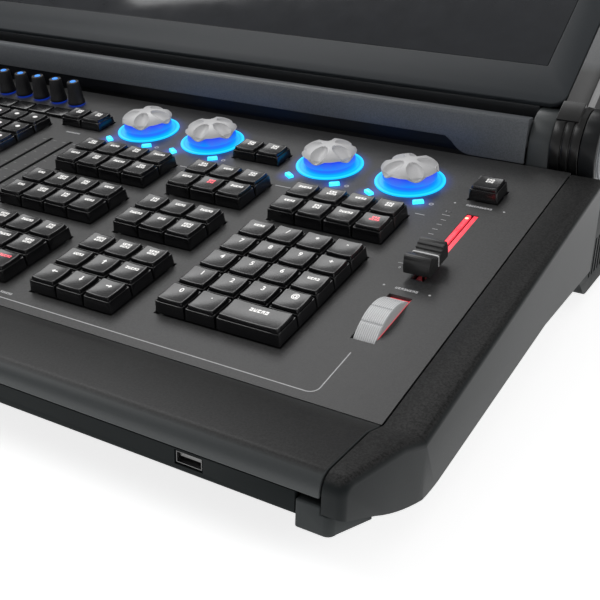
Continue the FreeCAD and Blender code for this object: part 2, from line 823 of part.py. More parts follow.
def key_template(name, wider=0, longer=0, skirt_height="key_skirt_height", dish_radius=KEY_DISH_RADIUS):
    """One key: a tapered skirt, a narrow neck and a dished cap."""
    tall = dim(skirt_height)
    skirt = wedge(f"{name}_skirt", f"key_base + {wider}", f"key_base + {longer}",
                  f"key_skirt_top + {wider}", f"key_skirt_top + {longer}", TINY, skirt_height)
    neck_low = TINY + tall - 0.1
    neck_sides = (f"key_cap_base - 1 + {wider}", f"key_cap_base - 1 + {longer}")
    neck = wedge(f"{name}_neck", *neck_sides, *neck_sides, neck_low, NECK_HEIGHT + 0.2)
    cap = wedge(f"{name}_cap", f"key_cap_base + {wider}", f"key_cap_base + {longer}",
                f"key_cap_top + {wider}", f"key_cap_top + {longer}", neck_low + NECK_HEIGHT, "key_cap_height")
    whole = fuse(f"{name}_whole", [skirt, neck, cap])
    top = neck_low + NECK_HEIGHT + dim("key_cap_height")
    dish_place = at(0, DISH_SPAN / 2, top + dish_radius - DISH_DEPTH, Rotation(X_AXIS, 90))
    dish = cylinder(f"{name}_dish", dish_place, Radius=dish_radius, Height=DISH_SPAN)
    dished = cut(f"{name}_dished", whole, dish)
    doc.recompute()
    rounded = doc.addObject("Part::Fillet", name)
    rounded.Base = dished
    edges = []
    for index, edge in enumerate(dished.Shape.Edges, start=1):
        middle = edge.valueAt((edge.FirstParameter + edge.LastParameter) / 2)
        if middle.z > top - 0.9:
            edges.append((index, dim("key_edge_radius"), dim("key_edge_radius")))
    rounded.Edges = edges
    doc.recompute()
    return rounded


def key_group(label, *placed):
    """Copies of keys on the panel as one sub-part, from pairs of a key and its centres."""
    solids = []
    for template, centres in placed:
        for across, up in centres:
            solid = template.Shape.copy()
            solid.Placement = on_panel(across, up).multiply(solid.Placement)
            solids.append(solid)
    obj = doc.addObject("Part::Feature", label)
    obj.Shape = Part.makeCompound(solids)
    return node(obj, label)


def block_centres(left, low, columns, rows, pitch=PITCH):
    """The middle of each key in a block, from the block's left and low edges."""
    places = []
    for row in range(rows):
        for column in range(columns):
            places.append((left + pitch * (column + 0.5), low + pitch * (row + 0.5)))
    return places


NUMERIC = (205, 0, 4, 5)
CURSOR = (129, -12, 3, 3)
PROGRAMMER = (34, -11.5, 4, 3)
MIDDLE = [(33, 62, 4, 2), (128, 60, 3, 2)]
UPPER = [(33, 114.4, 4, 2), (127, 113.6, 3, 2), (205, 110, 4, 2)]
PAIRS = [(-17, 177.4), (136.6, 176.4)]
GRAND_KEY = (304.5, 180, 1, 1)
EXECUTOR = [(-334, 107.5, 6, 3), (-334, 40, 6, 2), (-334, -12, 6, 2)]
PLAYBACK_COUNT = 10
PLAYBACK_RIGHT = -24.5
PLAYBACK_LEFT = PLAYBACK_RIGHT - PLAYBACK_COUNT * PLAYBACK_PITCH
PLAYBACK_ROWS = [(120.6, 3), (-12, 1)]
SELECT_ROW = (186.6, 13.8)
BLOCKS = [NUMERIC, CURSOR, PROGRAMMER] + MIDDLE + UPPER + [GRAND_KEY] + EXECUTOR


def key_areas():
    """Every block of keys as (left, low, width across, depth up the slope)."""
    areas = [(left, low, columns * PITCH, rows * PITCH) for left, low, columns, rows in BLOCKS]
    areas += [(left, low, 2 * PLAYBACK_PITCH, PLAYBACK_PITCH) for left, low in PAIRS]
    width = PLAYBACK_COUNT * PLAYBACK_PITCH
    areas += [(PLAYBACK_LEFT, low, width, rows * PLAYBACK_PITCH) for low, rows in PLAYBACK_ROWS]
    areas.append((PLAYBACK_LEFT, SELECT_ROW[0], width, SELECT_ROW[1]))
    return areas


def centres_of(blocks):
    return [place for block in blocks for place in block_centres(*block)]


def make_select_key():
    """A low flat key with rounded upper edges."""
    width = PLAYBACK_PITCH - 1.4
    depth = SELECT_ROW[1] - 0.6
    body = box("select_key_block", at(-width / 2, -depth / 2, TINY), Length=width, Width=depth,
               Height="select_key_height")
    doc.recompute()
    rounded = doc.addObject("Part::Fillet", "select_key_form")
    rounded.Base = body
    upper = TINY + dim("select_key_height") - 0.1
    edges = [index for index, edge in enumerate(body.Shape.Edges, start=1) if edge.BoundBox.ZMin > upper]
    rounded.Edges = [(index, dim("key_edge_radius"), dim("key_edge_radius")) for index in edges]
    doc.recompute()
    return rounded


def make_keys():
    key = key_template("key_form")
    wide_key = key_template("wide_key_form", wider=PITCH, dish_radius=WIDE_DISH_RADIUS)
    narrower = round(PLAYBACK_PITCH - PITCH, 3)
    compact_key = key_template("compact_key_form", narrower, narrower,
                               "compact_skirt_height", COMPACT_DISH_RADIUS)
    numeric = block_centres(*NUMERIC)
    enter = ((numeric[2][0] + numeric[3][0]) / 2, numeric[2][1])
    del numeric[2:4]
    key_group("keys_numeric", (key, numeric))
    key_group("key_enter", (wide_key, [enter]))
    key_group("keys_cursor", (key, block_centres(*CURSOR)))
    key_group("keys_programmer", (key, block_centres(*PROGRAMMER)))
    key_group("keys_middle", (key, centres_of(MIDDLE)))
    pairs = [(left, low, 2, 1, PLAYBACK_PITCH) for left, low in PAIRS]
    key_group("keys_upper", (key, centres_of(UPPER)), (compact_key, centres_of(pairs)))
    key_group("key_grand_master", (key, block_centres(*GRAND_KEY)))
    key_group("keys_executor", (key, centres_of(EXECUTOR)))
    rows = [(PLAYBACK_LEFT, low, PLAYBACK_COUNT, rows, PLAYBACK_PITCH) for low, rows in PLAYBACK_ROWS]
    select = [(across, SELECT_ROW[0] + SELECT_ROW[1] / 2) for across in knob_centres()]
    key_group("keys_playback", (compact_key, centres_of(rows)), (make_select_key(), select))


# ---- encoders, knobs, faders and the wheel --------------------------------------

ENCODERS = [(52.6, 193.8), (108.9, 193.8), (204, 191.5), (262.4, 189.6)]
FLUTES = 7
LED_OFFSET_ACROSS = 16.6
LED_OFFSET_UP = -24.4
LED_TURN = 34
LED_LENGTH = 6.8
LED_WIDTH = 3.6
KNOB_UP = 213.5
PLAYBACK_SLOT = (24, 98)
CROSSFADERS = [(-5.9, "left"), (12.7, "right")]
CROSSFADER_SLOT = (43, 155)
GRAND_ACROSS = 315
GRAND_SLOT = (84, 163)
GRAND_REST = 95
WHEEL_ACROSS = 313.8
WHEEL_UP = 44.5
WHEEL_SLOT = 44
CUT = 10
MAT_LIP = 1.5


def knob_centres():
    return [PLAYBACK_RIGHT - PLAYBACK_PITCH * (number + 0.5) for number in range(PLAYBACK_COUNT)]


def revolved(label, place, profile):
    """A turned body from a half outline of (radius, height) steps."""
    body = new_body(label, place)
    sketch = sketch_on(body, label + "_half", "XZ_Plane")
    outline(sketch, profile)
    feature = body.newObject("PartDesign::Revolution", label + "_turn")
    feature.Profile = sketch
    feature.ReferenceAxis = (sketch, ["V_Axis"])
    feature.Angle = 360
    body.Tip = feature
    return body


def make_encoder(number, across, up):
    """A silver knob: a low dome with scooped flutes and a cone cut away beneath."""
    label = f"encoder_knob_{number}"
    radius, height = dim("encoder_radius"), dim("encoder_height")
    body = revolved(label, on_panel(across, up), [
        (0, -5),
        (3, -5),
        (3, 7.5),
        (11.5, 7.5),
        (11.5, 3.8),
        (14.4, 3.8),
        (radius, 9.6),
        (radius, 10.4),
        ((radius - 2.2, height - 2.8), (radius - 6, height - 1.3)),
        (radius - 12, height),
        (0, height),
    ])
    flute = sketch_on(body, label + "_flute", "XY_Plane")
    lean = Placement(Vector(20.2, 0, 0), Rotation(Vector(0, 1, 0), -17))
    half_step = Placement(Vector(), Rotation(Vector(0, 0, 1), 180 / FLUTES))
    flute.AttachmentOffset = half_step.multiply(lean)
    flute.addGeometry(Part.Circle(Vector(0, 0, 0), Vector(0, 0, 1), dim("encoder_flute_radius")), False)
    flute.addConstraint(Sketcher.Constraint("Coincident", 0, 3, -1, 1))
    ring = flute.addConstraint(Sketcher.Constraint("Radius", 0, dim("encoder_flute_radius")))
    bind(flute, **{f"Constraints[{ring}]": "encoder_flute_radius"})
    scoop = pocket(body, flute, 40, symmetric=True)
    pattern = body.newObject("PartDesign::PolarPattern", label + "_flutes")
    pattern.Originals = [scoop]
    pattern.Axis = (next(item for item in body.Origin.OriginFeatures if item.Role == "Z_Axis"), [""])
    pattern.Angle = 360
    pattern.Occurrences = FLUTES
    body.Tip = pattern


def make_encoder_rings():
    """The clear ring and collar that light up under each silver knob."""
    rings = []
    for number, (across, up) in enumerate(ENCODERS):
        place = on_panel(across, up)
        disc = cylinder(f"ring_disc_{number}", place, Radius="encoder_ring_radius", Height=1)
        collar = cylinder(f"ring_collar_{number}", place, Radius="collar_radius", Height=3.2)
        clearance = cylinder(f"ring_hole_{number}", on_panel(across, up, -1), Radius=4, Height=6)
        rings.append(cut(f"light_ring_{number}", fuse(f"ring_whole_{number}", [disc, collar]), clearance))
    node(group("encoder_light_rings", rings), "encoder_light_rings")


def led_places():
    """Placements of the two small lit buttons beside each encoder, turned to follow its ring."""
    places = []
    for across, up in ENCODERS:
        for side in (-1, 1):
            spot = Vector(across + side * LED_OFFSET_ACROSS, up + LED_OFFSET_UP, 0)
            places.append(PANEL.multiply(Placement(spot, Rotation(Vector(0, 0, 1), side * LED_TURN))))
    return places


def make_encoder_buttons():
    buttons = []
    for number, place in enumerate(led_places()):
        corner = place.multiply(at(-LED_LENGTH / 2, -LED_WIDTH / 2, -1.6))
        buttons.append(box(f"button_{number}", corner, Length=LED_LENGTH, Width=LED_WIDTH, Height=3.2))
    node(group("encoder_buttons", buttons), "encoder_buttons")


def make_playback_knob(number, across):
    foot, top, height = dim("knob_foot_radius"), dim("knob_top_radius"), dim("knob_height")
    revolved(f"playback_knob_{number:02d}", on_panel(across, KNOB_UP), [
        (0, -5),
        (3, -5),
        (3, 1),
        (foot, 1),
        (foot, 4),
        (top, height - 1),
        (top - 1, height),
        (0, height),
    ])


def fader_cap_profile():
    """Half of a fader cap's side outline: stepped inside, humped outside."""
    steps = []
    for number in range(3):
        start = 0.8 + 2.4 * number
        height = 10 + 1.4 * number
        steps += [(start, height), (start + 2.4, height + 0.5)]
    hump = [((9.6, 14.4), (11.6, 12)), ((12.7, 8), (12.2, 3.6))]
    return steps, hump


def make_fader_cap(label, across, up, stem_width):
    """A black cap on a flat stem that goes down through its slot."""
    body = new_body(label, on_panel(across, up))
    add_fader_cap(body, label, stem_width)
    return body


def add_fader_cap(body, label, stem_width):
    steps, hump = fader_cap_profile()
    outer = hump[0][1]
    sketch = sketch_on(body, label + "_side", "YZ_Plane")
    outline(sketch, [
        (12.2, 3.6),
        ((12.7, 8), outer),
        ((10.2, 14), steps[-1]),
        *reversed(steps[:-1]),
        *[(-y, z) for y, z in steps],
        ((-10.2, 14), (-outer[0], outer[1])),
        ((-12.7, 8), (-12.2, 3.6)),
    ])
    pad(body, sketch, "cap_width", symmetric=True)
    stem = sketch_on(body, label + "_stem", "YZ_Plane")
    rectangle(stem, left=-3, right=3, low=-9, high=4)
    pad(body, stem, stem_width, symmetric=True)


def make_playback_caps():
    """The ten playback caps, which the motors drive together."""
    form = doc.addObject("PartDesign::Body", "playback_cap_form")
    add_fader_cap(form, "playback_cap", 1.2)
    doc.recompute()
    solids = []
    for across in knob_centres():
        solid = form.Shape.copy()
        solid.Placement = on_panel(across, PLAYBACK_SLOT[0] + 7).multiply(solid.Placement)
        solids.append(solid)
    obj = doc.addObject("Part::Feature", "playback_fader_caps")
    obj.Shape = Part.makeCompound(solids)
    node(obj, "playback_fader_caps")


def make_wheel():
    """A wide thumb wheel with shallow cross grooves, most of it below the panel."""
    depth = dim("wheel_rise") - dim("wheel_radius")
    centre = on_panel(WHEEL_ACROSS, WHEEL_UP, depth)
    body = new_body("intensity_wheel", centre)
    rim = sketch_on(body, "wheel_rim", "YZ_Plane")
    rim.addGeometry(Part.Circle(Vector(0, 0, 0), Vector(0, 0, 1), dim("wheel_radius")), False)
    rim.addConstraint(Sketcher.Constraint("Coincident", 0, 3, -1, 1))
    size = rim.addConstraint(Sketcher.Constraint("Radius", 0, dim("wheel_radius")))
    bind(rim, **{f"Constraints[{size}]": "wheel_radius"})
    disc = pad(body, rim, "wheel_width", symmetric=True)
    fillet(body, disc, lambda point, edge: True, 0.6)
    axle = sketch_on(body, "wheel_axle", "YZ_Plane")
    axle.addGeometry(Part.Circle(Vector(0, 0, 0), Vector(0, 0, 1), 3), False)
    pad(body, axle, "wheel_width + 8", symmetric=True)
    groove = sketch_on(body, "wheel_groove", "YZ_Plane")
    top = dim("wheel_radius")
    outline(groove, [(-0.6, top + 1), (-0.6, top - 0.3), ((0, top - 0.6), (0.6, top - 0.3)), (0.6, top + 1)])
    line = pocket(body, groove, "wheel_width + 2", symmetric=True)
    pattern = body.newObject("PartDesign::PolarPattern", "wheel_grooves")
    pattern.Originals = [line]
    pattern.Axis = (next(item for item in body.Origin.OriginFeatures if item.Role == "X_Axis"), [""])
    pattern.Angle = 360
    pattern.Occurrences = 16
    body.Tip = pattern


def make_wheel_carrier():
    """Two cheeks under the panel that hold the wheel's axle."""
    plates = []
    depth = dim("wheel_rise") - dim("wheel_radius")
    for number, gap in enumerate((-9.6, 6.9)):
        corner = on_panel(WHEEL_ACROSS + gap, WHEEL_UP - 7, depth - 7)
        plate = box(f"carrier_plate_{number}", corner, Length=2.7, Width=14, Height=-2.3 - depth + 7)
        hole_place = on_panel(WHEEL_ACROSS + gap - 1, WHEEL_UP, depth)
        hole_place = hole_place.multiply(Placement(Vector(), Rotation(Vector(0, 1, 0), 90)))
        hole = cylinder(f"carrier_hole_{number}", hole_place, Radius=3.3, Height=5)
        plates.append(cut(f"carrier_{number}", plate, hole))
    node(group("wheel_carrier", plates), "wheel_carrier")


# ---- the panel and what is under it ---------------------------------------------

def slots():
    """Every slot in the panel as (middle across, low end, high end, name of its width)."""
    places = [(across, *PLAYBACK_SLOT, "slot_width") for across in knob_centres()]
    places += [(across, *CROSSFADER_SLOT, "slot_width") for across, name in CROSSFADERS]
    places.append((GRAND_ACROSS, *GRAND_SLOT, "grand_slot_width"))
    places.append((WHEEL_ACROSS, WHEEL_UP - WHEEL_SLOT / 2, WHEEL_UP + WHEEL_SLOT / 2, "wheel_slot_width"))
    return places


def panel_hole(name, across, up, width, depth):
    """A box that cuts a rectangle through the panel, from its low left corner."""
    return box(name, on_panel(across, up, -CUT / 2), Length=width, Width=depth, Height=CUT)


def panel_openings():
    """One cutting tool for every opening in the control panel."""
    tools = []
    margin = dim("cutout_margin")
    for number, (left, low, width, depth) in enumerate(key_areas()):
        tools.append(panel_hole(f"block_opening_{number}", left - margin, low - margin,
                                f"{width} + 2 * cutout_margin", f"{depth} + 2 * cutout_margin"))
    for number, (across, low, high, width) in enumerate(slots()):
        tools.append(panel_hole(f"slot_opening_{number}", across - dim(width) / 2, low, width, high - low))
    for number, (across, up) in enumerate(ENCODERS):
        tools.append(cylinder(f"encoder_opening_{number}", on_panel(across, up, -5), Radius=4, Height=CUT))
    for number, across in enumerate(knob_centres()):
        tools.append(cylinder(f"knob_opening_{number}", on_panel(across, KNOB_UP, -5), Radius=4, Height=CUT))
    length, width = LED_LENGTH + 2 * TINY, LED_WIDTH + 2 * TINY
    for number, place in enumerate(led_places()):
        corner = place.multiply(at(-length / 2, -width / 2, -CUT / 2))
        tools.append(box(f"button_opening_{number}", corner, Length=length, Width=width, Height=CUT))
    return group("panel_openings", tools)


def make_panel():
    corner = on_panel(-INNER + dim("cheek_gap"), dim("panel_front"), -dim("panel_sheet"))
    plate = box("panel_plate", corner, Length="desk_width - 2 * cheek_width - 2 * cheek_gap",
                Width="panel_back - panel_front", Height="panel_sheet")
    node(cut("control_panel", plate, panel_openings()), "control_panel")


def make_key_mats():
    """Silicone key mats, one under each block of keys."""
    mats = []
    for number, (left, low, width, depth) in enumerate(key_areas()):
        corner = on_panel(left - MAT_LIP, low - MAT_LIP, -4.2)
        mats.append(box(f"mat_{number}", corner,
                        Length=width + 2 * MAT_LIP, Width=depth + 2 * MAT_LIP, Height=1.8))
    node(group("key_mats", mats), "key_mats")


def make_fader_frames():
    """Channel shaped fader tracks under the slots."""
    frames = []
    for number, (across, low, high, width) in enumerate(slots()[:-1]):
        corner = on_panel(across - 5.5, low - 6, -18)
        channel = box(f"track_block_{number}", corner, Length=11, Width=high - low + 12, Height=13.5)
        groove_corner = on_panel(across - 3.8, low - 1, -16.5)
        groove = box(f"track_groove_{number}", groove_corner, Length=7.6, Width=high - low + 2, Height=13)
        frames.append(cut(f"track_{number}", channel, groove))
    node(group("fader_frames", frames), "fader_frames")


def make_control_board():
    """The circuit board under the panel, in two parts clear of the wheel."""
    left_board = box("board_left", on_panel(-340, -14, -24), Length=370, Width=230, Height=1.6)
    right_board = box("board_right", on_panel(34, -14, -24), Length=260, Width=230, Height=1.6)
    node(group("control_board", [left_board, right_board]), "control_board")


def make_power_supply():
    """A vented steel can, hollow like the real one."""
    can = box("supply_can", at(-330, 150, FLOOR + 6), Length=190, Width=100, Height=40)
    room = box("supply_room", at(-328, 152, FLOOR + 8), Length=186, Width=96, Height=36)
    node(cut("power_supply", can, room), "power_supply")


def make_front_usb():
    """The USB socket behind the fascia: a metal shell around a tongue."""
    low = USB_Z - 3
    shell = box("usb_shell", at(USB_X - 6.6, FRONT + 0.8, low + 0.3), Length=13.2, Width=14, Height=5.6)
    mouth = box("usb_inside", at(USB_X - 6.2, FRONT - 1, low + 0.7), Length=12.4, Width=12, Height=4.8)
    tongue = box("usb_tongue", at(USB_X - 5.4, FRONT + 2, low + 3.2), Length=10.8, Width=10.5, Height=1.6)
    node(fuse("usb_port_front", [cut("usb_hollow", shell, mouth), tongue]), "usb_port_front")


def build():
    make_cheek("cheek_right", 1)
    make_cheek("cheek_left", -1)
    make_armrest()
    make_fascia()
    make_corner_blocks()
    make_base_pan()
    make_feet()
    make_bottom_screws()
    make_rail()
    make_deck()
    make_rear_panel()
    make_xlr_outputs()
    make_data_ports()
    make_power_inlet()
    make_rear_side("rear_side_right", 1)
    make_rear_side("rear_side_left", -1)
    make_hinge_brackets()
    make_hinge_covers()
    make_screen_arms()
    make_screen_bezel()
    make_screen_glass()
    make_screen_back()
    make_display_panels()
    make_keys()
    for number, (across, up) in enumerate(ENCODERS, start=1):
        make_encoder(number, across, up)
    make_encoder_rings()
    make_encoder_buttons()
    for number, across in enumerate(knob_centres(), start=1):
        make_playback_knob(number, across)
    make_playback_caps()
    for across, name in CROSSFADERS:
        make_fader_cap(f"crossfader_cap_{name}", across, CROSSFADER_SLOT[0] + 6, 1.2)
    make_fader_cap("grand_master_cap", GRAND_ACROSS, GRAND_REST, 1.6)
    make_wheel()
    make_wheel_carrier()
    make_panel()
    make_key_mats()
    make_fader_frames()
    make_control_board()
    make_power_supply()
    make_front_usb()
    doc.recompute()


def check_and_write():
    """Stop if any object failed, then write one STEP file for each sub-part."""
    for obj in doc.Objects:
        if "Invalid" in obj.State or "Error" in obj.State:
            raise RuntimeError(f"{obj.Label} failed: {obj.State}")
    for obj in NODES:
        if obj.Shape.isNull() or not obj.Shape.isValid():
            raise RuntimeError(f"{obj.Label} has no valid shape")
    os.makedirs("parts", exist_ok=True)
    for obj in NODES:
        obj.Shape.exportStep(f"parts/{obj.Label}.step")
    print(len(NODES), "sub-parts written")


build()
check_and_write()
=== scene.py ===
import json
import math
import bmesh
import bpy
from mathutils import Matrix, Vector


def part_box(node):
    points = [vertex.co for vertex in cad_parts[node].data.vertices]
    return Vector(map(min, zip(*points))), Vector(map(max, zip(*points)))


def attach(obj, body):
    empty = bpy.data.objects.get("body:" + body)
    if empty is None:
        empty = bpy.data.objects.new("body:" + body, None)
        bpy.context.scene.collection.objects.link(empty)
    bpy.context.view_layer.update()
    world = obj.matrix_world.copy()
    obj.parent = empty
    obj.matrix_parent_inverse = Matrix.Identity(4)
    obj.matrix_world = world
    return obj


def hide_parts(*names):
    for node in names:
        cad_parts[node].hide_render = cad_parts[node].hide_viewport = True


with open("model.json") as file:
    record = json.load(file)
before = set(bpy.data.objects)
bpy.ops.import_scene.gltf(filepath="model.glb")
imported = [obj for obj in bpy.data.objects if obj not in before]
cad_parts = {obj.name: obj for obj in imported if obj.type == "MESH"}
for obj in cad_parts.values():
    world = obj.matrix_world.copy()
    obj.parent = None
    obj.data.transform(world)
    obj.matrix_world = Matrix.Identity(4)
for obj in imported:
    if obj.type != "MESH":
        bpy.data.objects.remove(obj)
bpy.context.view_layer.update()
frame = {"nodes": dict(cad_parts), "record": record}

NODES = frame["nodes"]
MM = 0.001

# ---- the panel's own frame: across, up the slope and off the surface, in mm ------

TILT = math.radians(10)
PANEL_ORIGIN = Vector((0, -201.5, 57)) * MM
PANEL_ROTATION = Matrix.Rotation(TILT, 4, "X")
PANEL = Matrix.Translation(PANEL_ORIGIN) @ PANEL_ROTATION @ Matrix.Scale(MM, 4)
TO_PANEL = PANEL.inverted()
HINGE_POINT = Vector((0, 56.5, 111)) * MM


def solids(node):
    """Each solid of a CAD node as (u0, v0, h0, u1, v1, h1) in the panel's frame."""
    bm = bmesh.new()
    bm.from_mesh(NODES[node].data)
    bmesh.ops.remove_doubles(bm, verts=bm.verts, dist=1e-6)
    bm.verts.ensure_lookup_table()
    seen, boxes = set(), []
    for start in bm.verts:
        if start.index in seen:
            continue
        stack, group = [start], []
        seen.add(start.index)
        while stack:
            vert = stack.pop()
            group.append(TO_PANEL @ vert.co)
            for edge in vert.link_edges:
                other = edge.other_vert(vert)
                if other.index not in seen:
                    seen.add(other.index)
                    stack.append(other)
        low = [min(p[i] for p in group) for i in range(3)]
        high = [max(p[i] for p in group) for i in range(3)]
        boxes.append((*low, *high))
    bm.free()
    return sorted(boxes, key=lambda b: (round(b[1] / 6), b[0]))


def centre_of(box):
    """The middle of a solid's box, across and up the panel."""
    return (box[0] + box[3]) / 2, (box[1] + box[4]) / 2


def node_centre(node):
    """The middle of a CAD node's own box, across and up the panel."""
    low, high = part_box(node)
    middle = TO_PANEL @ ((low + high) / 2)
    return middle.x, middle.y


ENCODER_PLACES = [centre_of(box) for box in solids("encoder_light_rings")]
PLAYBACK_KNOBS = sorted(node for node in NODES if node.startswith("playback_knob_"))

# ---- materials -------------------------------------------------------------------

class Shader:
    """A small helper that adds nodes to one material."""

    def __init__(self, name):
        self.material = bpy.data.materials.new(name)
        self.material.use_nodes = True
        self.tree = self.material.node_tree
        self.shader = self.tree.nodes["Principled BSDF"]
        self.place = self.add("ShaderNodeTexCoord").outputs["Object"]

    def add(self, kind, **values):
        node = self.tree.nodes.new(kind)
        for key, value in values.items():
            setattr(node, key, value)
        return node

    def put(self, source, target):
        self.tree.links.new(source, target)

    def math(self, operation, a, b=None, clamp=False):
        node = self.add("ShaderNodeMath", operation=operation, use_clamp=clamp)
        for index, value in enumerate((a, b)):
            if value is None:
                continue
            if isinstance(value, (int, float)):
                node.inputs[index].default_value = value
            else:
                self.put(value, node.inputs[index])
        return node.outputs[0]

    def noise(self, scale, detail=2.0, rough=0.5):
        node = self.add("ShaderNodeTexNoise")
        node.inputs["Scale"].default_value = scale
        node.inputs["Detail"].default_value = detail
        node.inputs["Roughness"].default_value = rough
        self.put(self.place, node.inputs["Vector"])
        return node.outputs["Fac"]

    def span(self, value, low, high, to_low, to_high):
        node = self.add("ShaderNodeMapRange")
        limits = {"From Min": low, "From Max": high, "To Min": to_low, "To Max": to_high}
        for name, number in limits.items():
            node.inputs[name].default_value = number
        self.put(value, node.inputs["Value"])
        return node.outputs["Result"]

    def mix(self, factor, a, b):
        node = self.add("ShaderNodeMix", data_type="RGBA")
        inputs = [socket for socket in node.inputs if socket.enabled]
        for socket, value in zip(inputs, (factor, a, b)):
            if isinstance(value, (int, float)):
                socket.default_value = value
            elif isinstance(value, tuple):
                socket.default_value = (*value, 1)
            else:
                self.put(value, socket)
        return next(socket for socket in node.outputs if socket.enabled)

    def set(self, **values):
        names = {"rough": "Roughness", "metal": "Metallic", "specular": "Specular IOR Level",
                 "strength": "Emission Strength"}
        for key, value in values.items():
            if key == "color":
                self.shader.inputs["Base Color"].default_value = (*value, 1)
            elif key == "glow":
                self.shader.inputs["Emission Color"].default_value = (*value, 1)
            else:
                self.shader.inputs[names[key]].default_value = value

    def bump(self, height, strength, distance):
        node = self.add("ShaderNodeBump")
        node.inputs["Strength"].default_value = strength
        node.inputs["Distance"].default_value = distance
        self.put(height, node.inputs["Height"])
        self.put(node.outputs["Normal"], self.shader.inputs["Normal"])

    def axis(self, name, source=None):
        """One coordinate of a place or direction; the place on the object by default."""
        split = self.add("ShaderNodeSeparateXYZ")
        self.put(source or self.place, split.inputs[0])
        return split.outputs[name]

    def ramp(self, value, stops):
        """Colours along a value from 0 to 1, as (position, colour) stops."""
        node = self.add("ShaderNodeValToRGB")
        self.put(value, node.inputs["Fac"])
        elements = node.color_ramp.elements
        while len(elements) < len(stops):
            elements.new(0.5)
        for element, (position, color) in zip(elements, stops):
            element.position = position
            element.color = (*color, 1)
        return node.outputs["Color"]

    def paint(self, color):
        self.put(color, self.shader.inputs["Base Color"])

    def light(self, color):
        self.put(color, self.shader.inputs["Emission Color"])

    def gloss(self, value):
        self.put(value, self.shader.inputs["Roughness"])


def scaled(color, factor):
    return tuple(min(1, c * factor) for c in color)


def textured(name, color, rough=0.55, grain=900, depth=0.00012, vary=0.16, specular=0.5):
    """Moulded or powder coated surface: fine grain in colour, gloss and relief."""
    s = Shader(name)
    s.set(specular=specular)
    fine = s.noise(grain, 3, 0.6)
    broad = s.noise(14, 2)
    speck = s.mix(s.span(fine, 0.35, 0.65, 0, 1), scaled(color, 1 - vary), scaled(color, 1 + vary))
    drift = s.mix(s.span(broad, 0.3, 0.7, 0, 0.35), speck, scaled(color, 1.1))
    s.paint(drift)
    s.gloss(s.span(fine, 0.3, 0.7, rough - 0.07, rough + 0.1))
    s.bump(fine, 0.5, depth)
    return s.material


def brushed(name, color, rough=0.35, metal=0.9):
    """Metal with fine lines along one direction."""
    s = Shader(name)
    s.set(metal=metal)
    mapping = s.add("ShaderNodeMapping")
    mapping.inputs["Scale"].default_value = (1, 60, 60)
    s.put(s.place, mapping.inputs["Vector"])
    lines = s.add("ShaderNodeTexNoise")
    lines.inputs["Scale"].default_value = 40
    lines.inputs["Detail"].default_value = 4
    s.put(mapping.outputs["Vector"], lines.inputs["Vector"])
    streak = lines.outputs["Fac"]
    s.paint(s.mix(s.span(streak, 0.3, 0.7, 0, 1), scaled(color, 0.85), scaled(color, 1.1)))
    s.gloss(s.span(streak, 0.3, 0.7, rough - 0.08, rough + 0.12))
    s.bump(streak, 0.15, 0.00005)
    return s.material


def glossy(name, color, rough=0.2, smudge=0.12):
    """Polished plastic with faint finger smudges."""
    s = Shader(name)
    smear = s.noise(60, 4, 0.6)
    fine = s.noise(2080, 2)
    s.paint(s.mix(smear, scaled(color, 0.8), scaled(color, 1.25)))
    s.gloss(s.span(smear, 0.3, 0.7, rough, rough + smudge))
    s.bump(fine, 0.2, 0.00002)
    return s.material


def lit(name, color, strength, core=None):
    """A lit piece of clear plastic, a little uneven in brightness."""
    s = Shader(name)
    s.set(color=scaled(color, 0.15), rough=0.3, strength=strength)
    uneven = s.noise(180, 2)
    s.light(s.mix(s.span(uneven, 0.3, 0.7, 0, 1), scaled(color, 0.85), core or color))
    return s.material


def distance_to(s, point):
    node = s.add("ShaderNodeVectorMath", operation="DISTANCE")
    s.put(s.place, node.inputs[0])
    node.inputs[1].default_value = point
    return node.outputs["Value"]


# ---- mesh helpers ----------------------------------------------------------------

def rounded_rect(width, depth, radius, steps=5, between=0):
    """Points of a rounded rectangle round the origin, counter-clockwise."""
    points = []
    radius = min(radius, width / 2 - 0.01, depth / 2 - 0.01)
    for corner, (sx, sy) in enumerate(((1, 1), (-1, 1), (-1, -1), (1, -1))):
        cx, cy = sx * (width / 2 - radius), sy * (depth / 2 - radius)
        for step in range(steps + 1):
            angle = math.pi / 2 * (corner + step / steps)
            points.append((cx + radius * math.cos(angle), cy + radius * math.sin(angle)))
        side = width if corner % 2 == 0 else depth
        run = side - 2 * radius
        last = points[-1]
        direction = ((-1, 0), (0, -1), (1, 0), (0, 1))[corner]
        for number in range(between):
            part = run * (number + 1) / (between + 1)
            points.append((last[0] + direction[0] * part, last[1] + direction[1] * part))
    return points


def loft(bm, rings):
    """Skins between rings of equal length in the panel's frame, and closes both ends."""
    layers = [[bm.verts.new(PANEL @ Vector(p)) for p in ring] for ring in rings]
    count = len(layers[0])
    for low, high in zip(layers, layers[1:]):
        for i in range(count):
            j = (i + 1) % count
            bm.faces.new((low[i], low[j], high[j], high[i]))
    bm.faces.new(list(reversed(layers[0])))
    bm.faces.new(layers[-1])


def lathe(bm, profile, centre, segments):
    """Turns (radius, height) steps about a normal of the panel."""
    rings = []
    for radius, height in profile:
        rings.append([(centre[0] + radius * math.cos(2 * math.pi * k / segments),
                       centre[1] + radius * math.sin(2 * math.pi * k / segments), height)
                      for k in range(segments)])
    loft(bm, rings)


def prism(bm, points, low, high):
    """A flat piece with the given outline, from one height to another."""
    loft(bm, [[(x, y, low) for x, y in points], [(x, y, high) for x, y in points]])


def bar(bm, u, v, width, depth, low, high, radius):
    prism(bm, [(u + x, v + y) for x, y in rounded_rect(width, depth, radius, 2)], low, high)


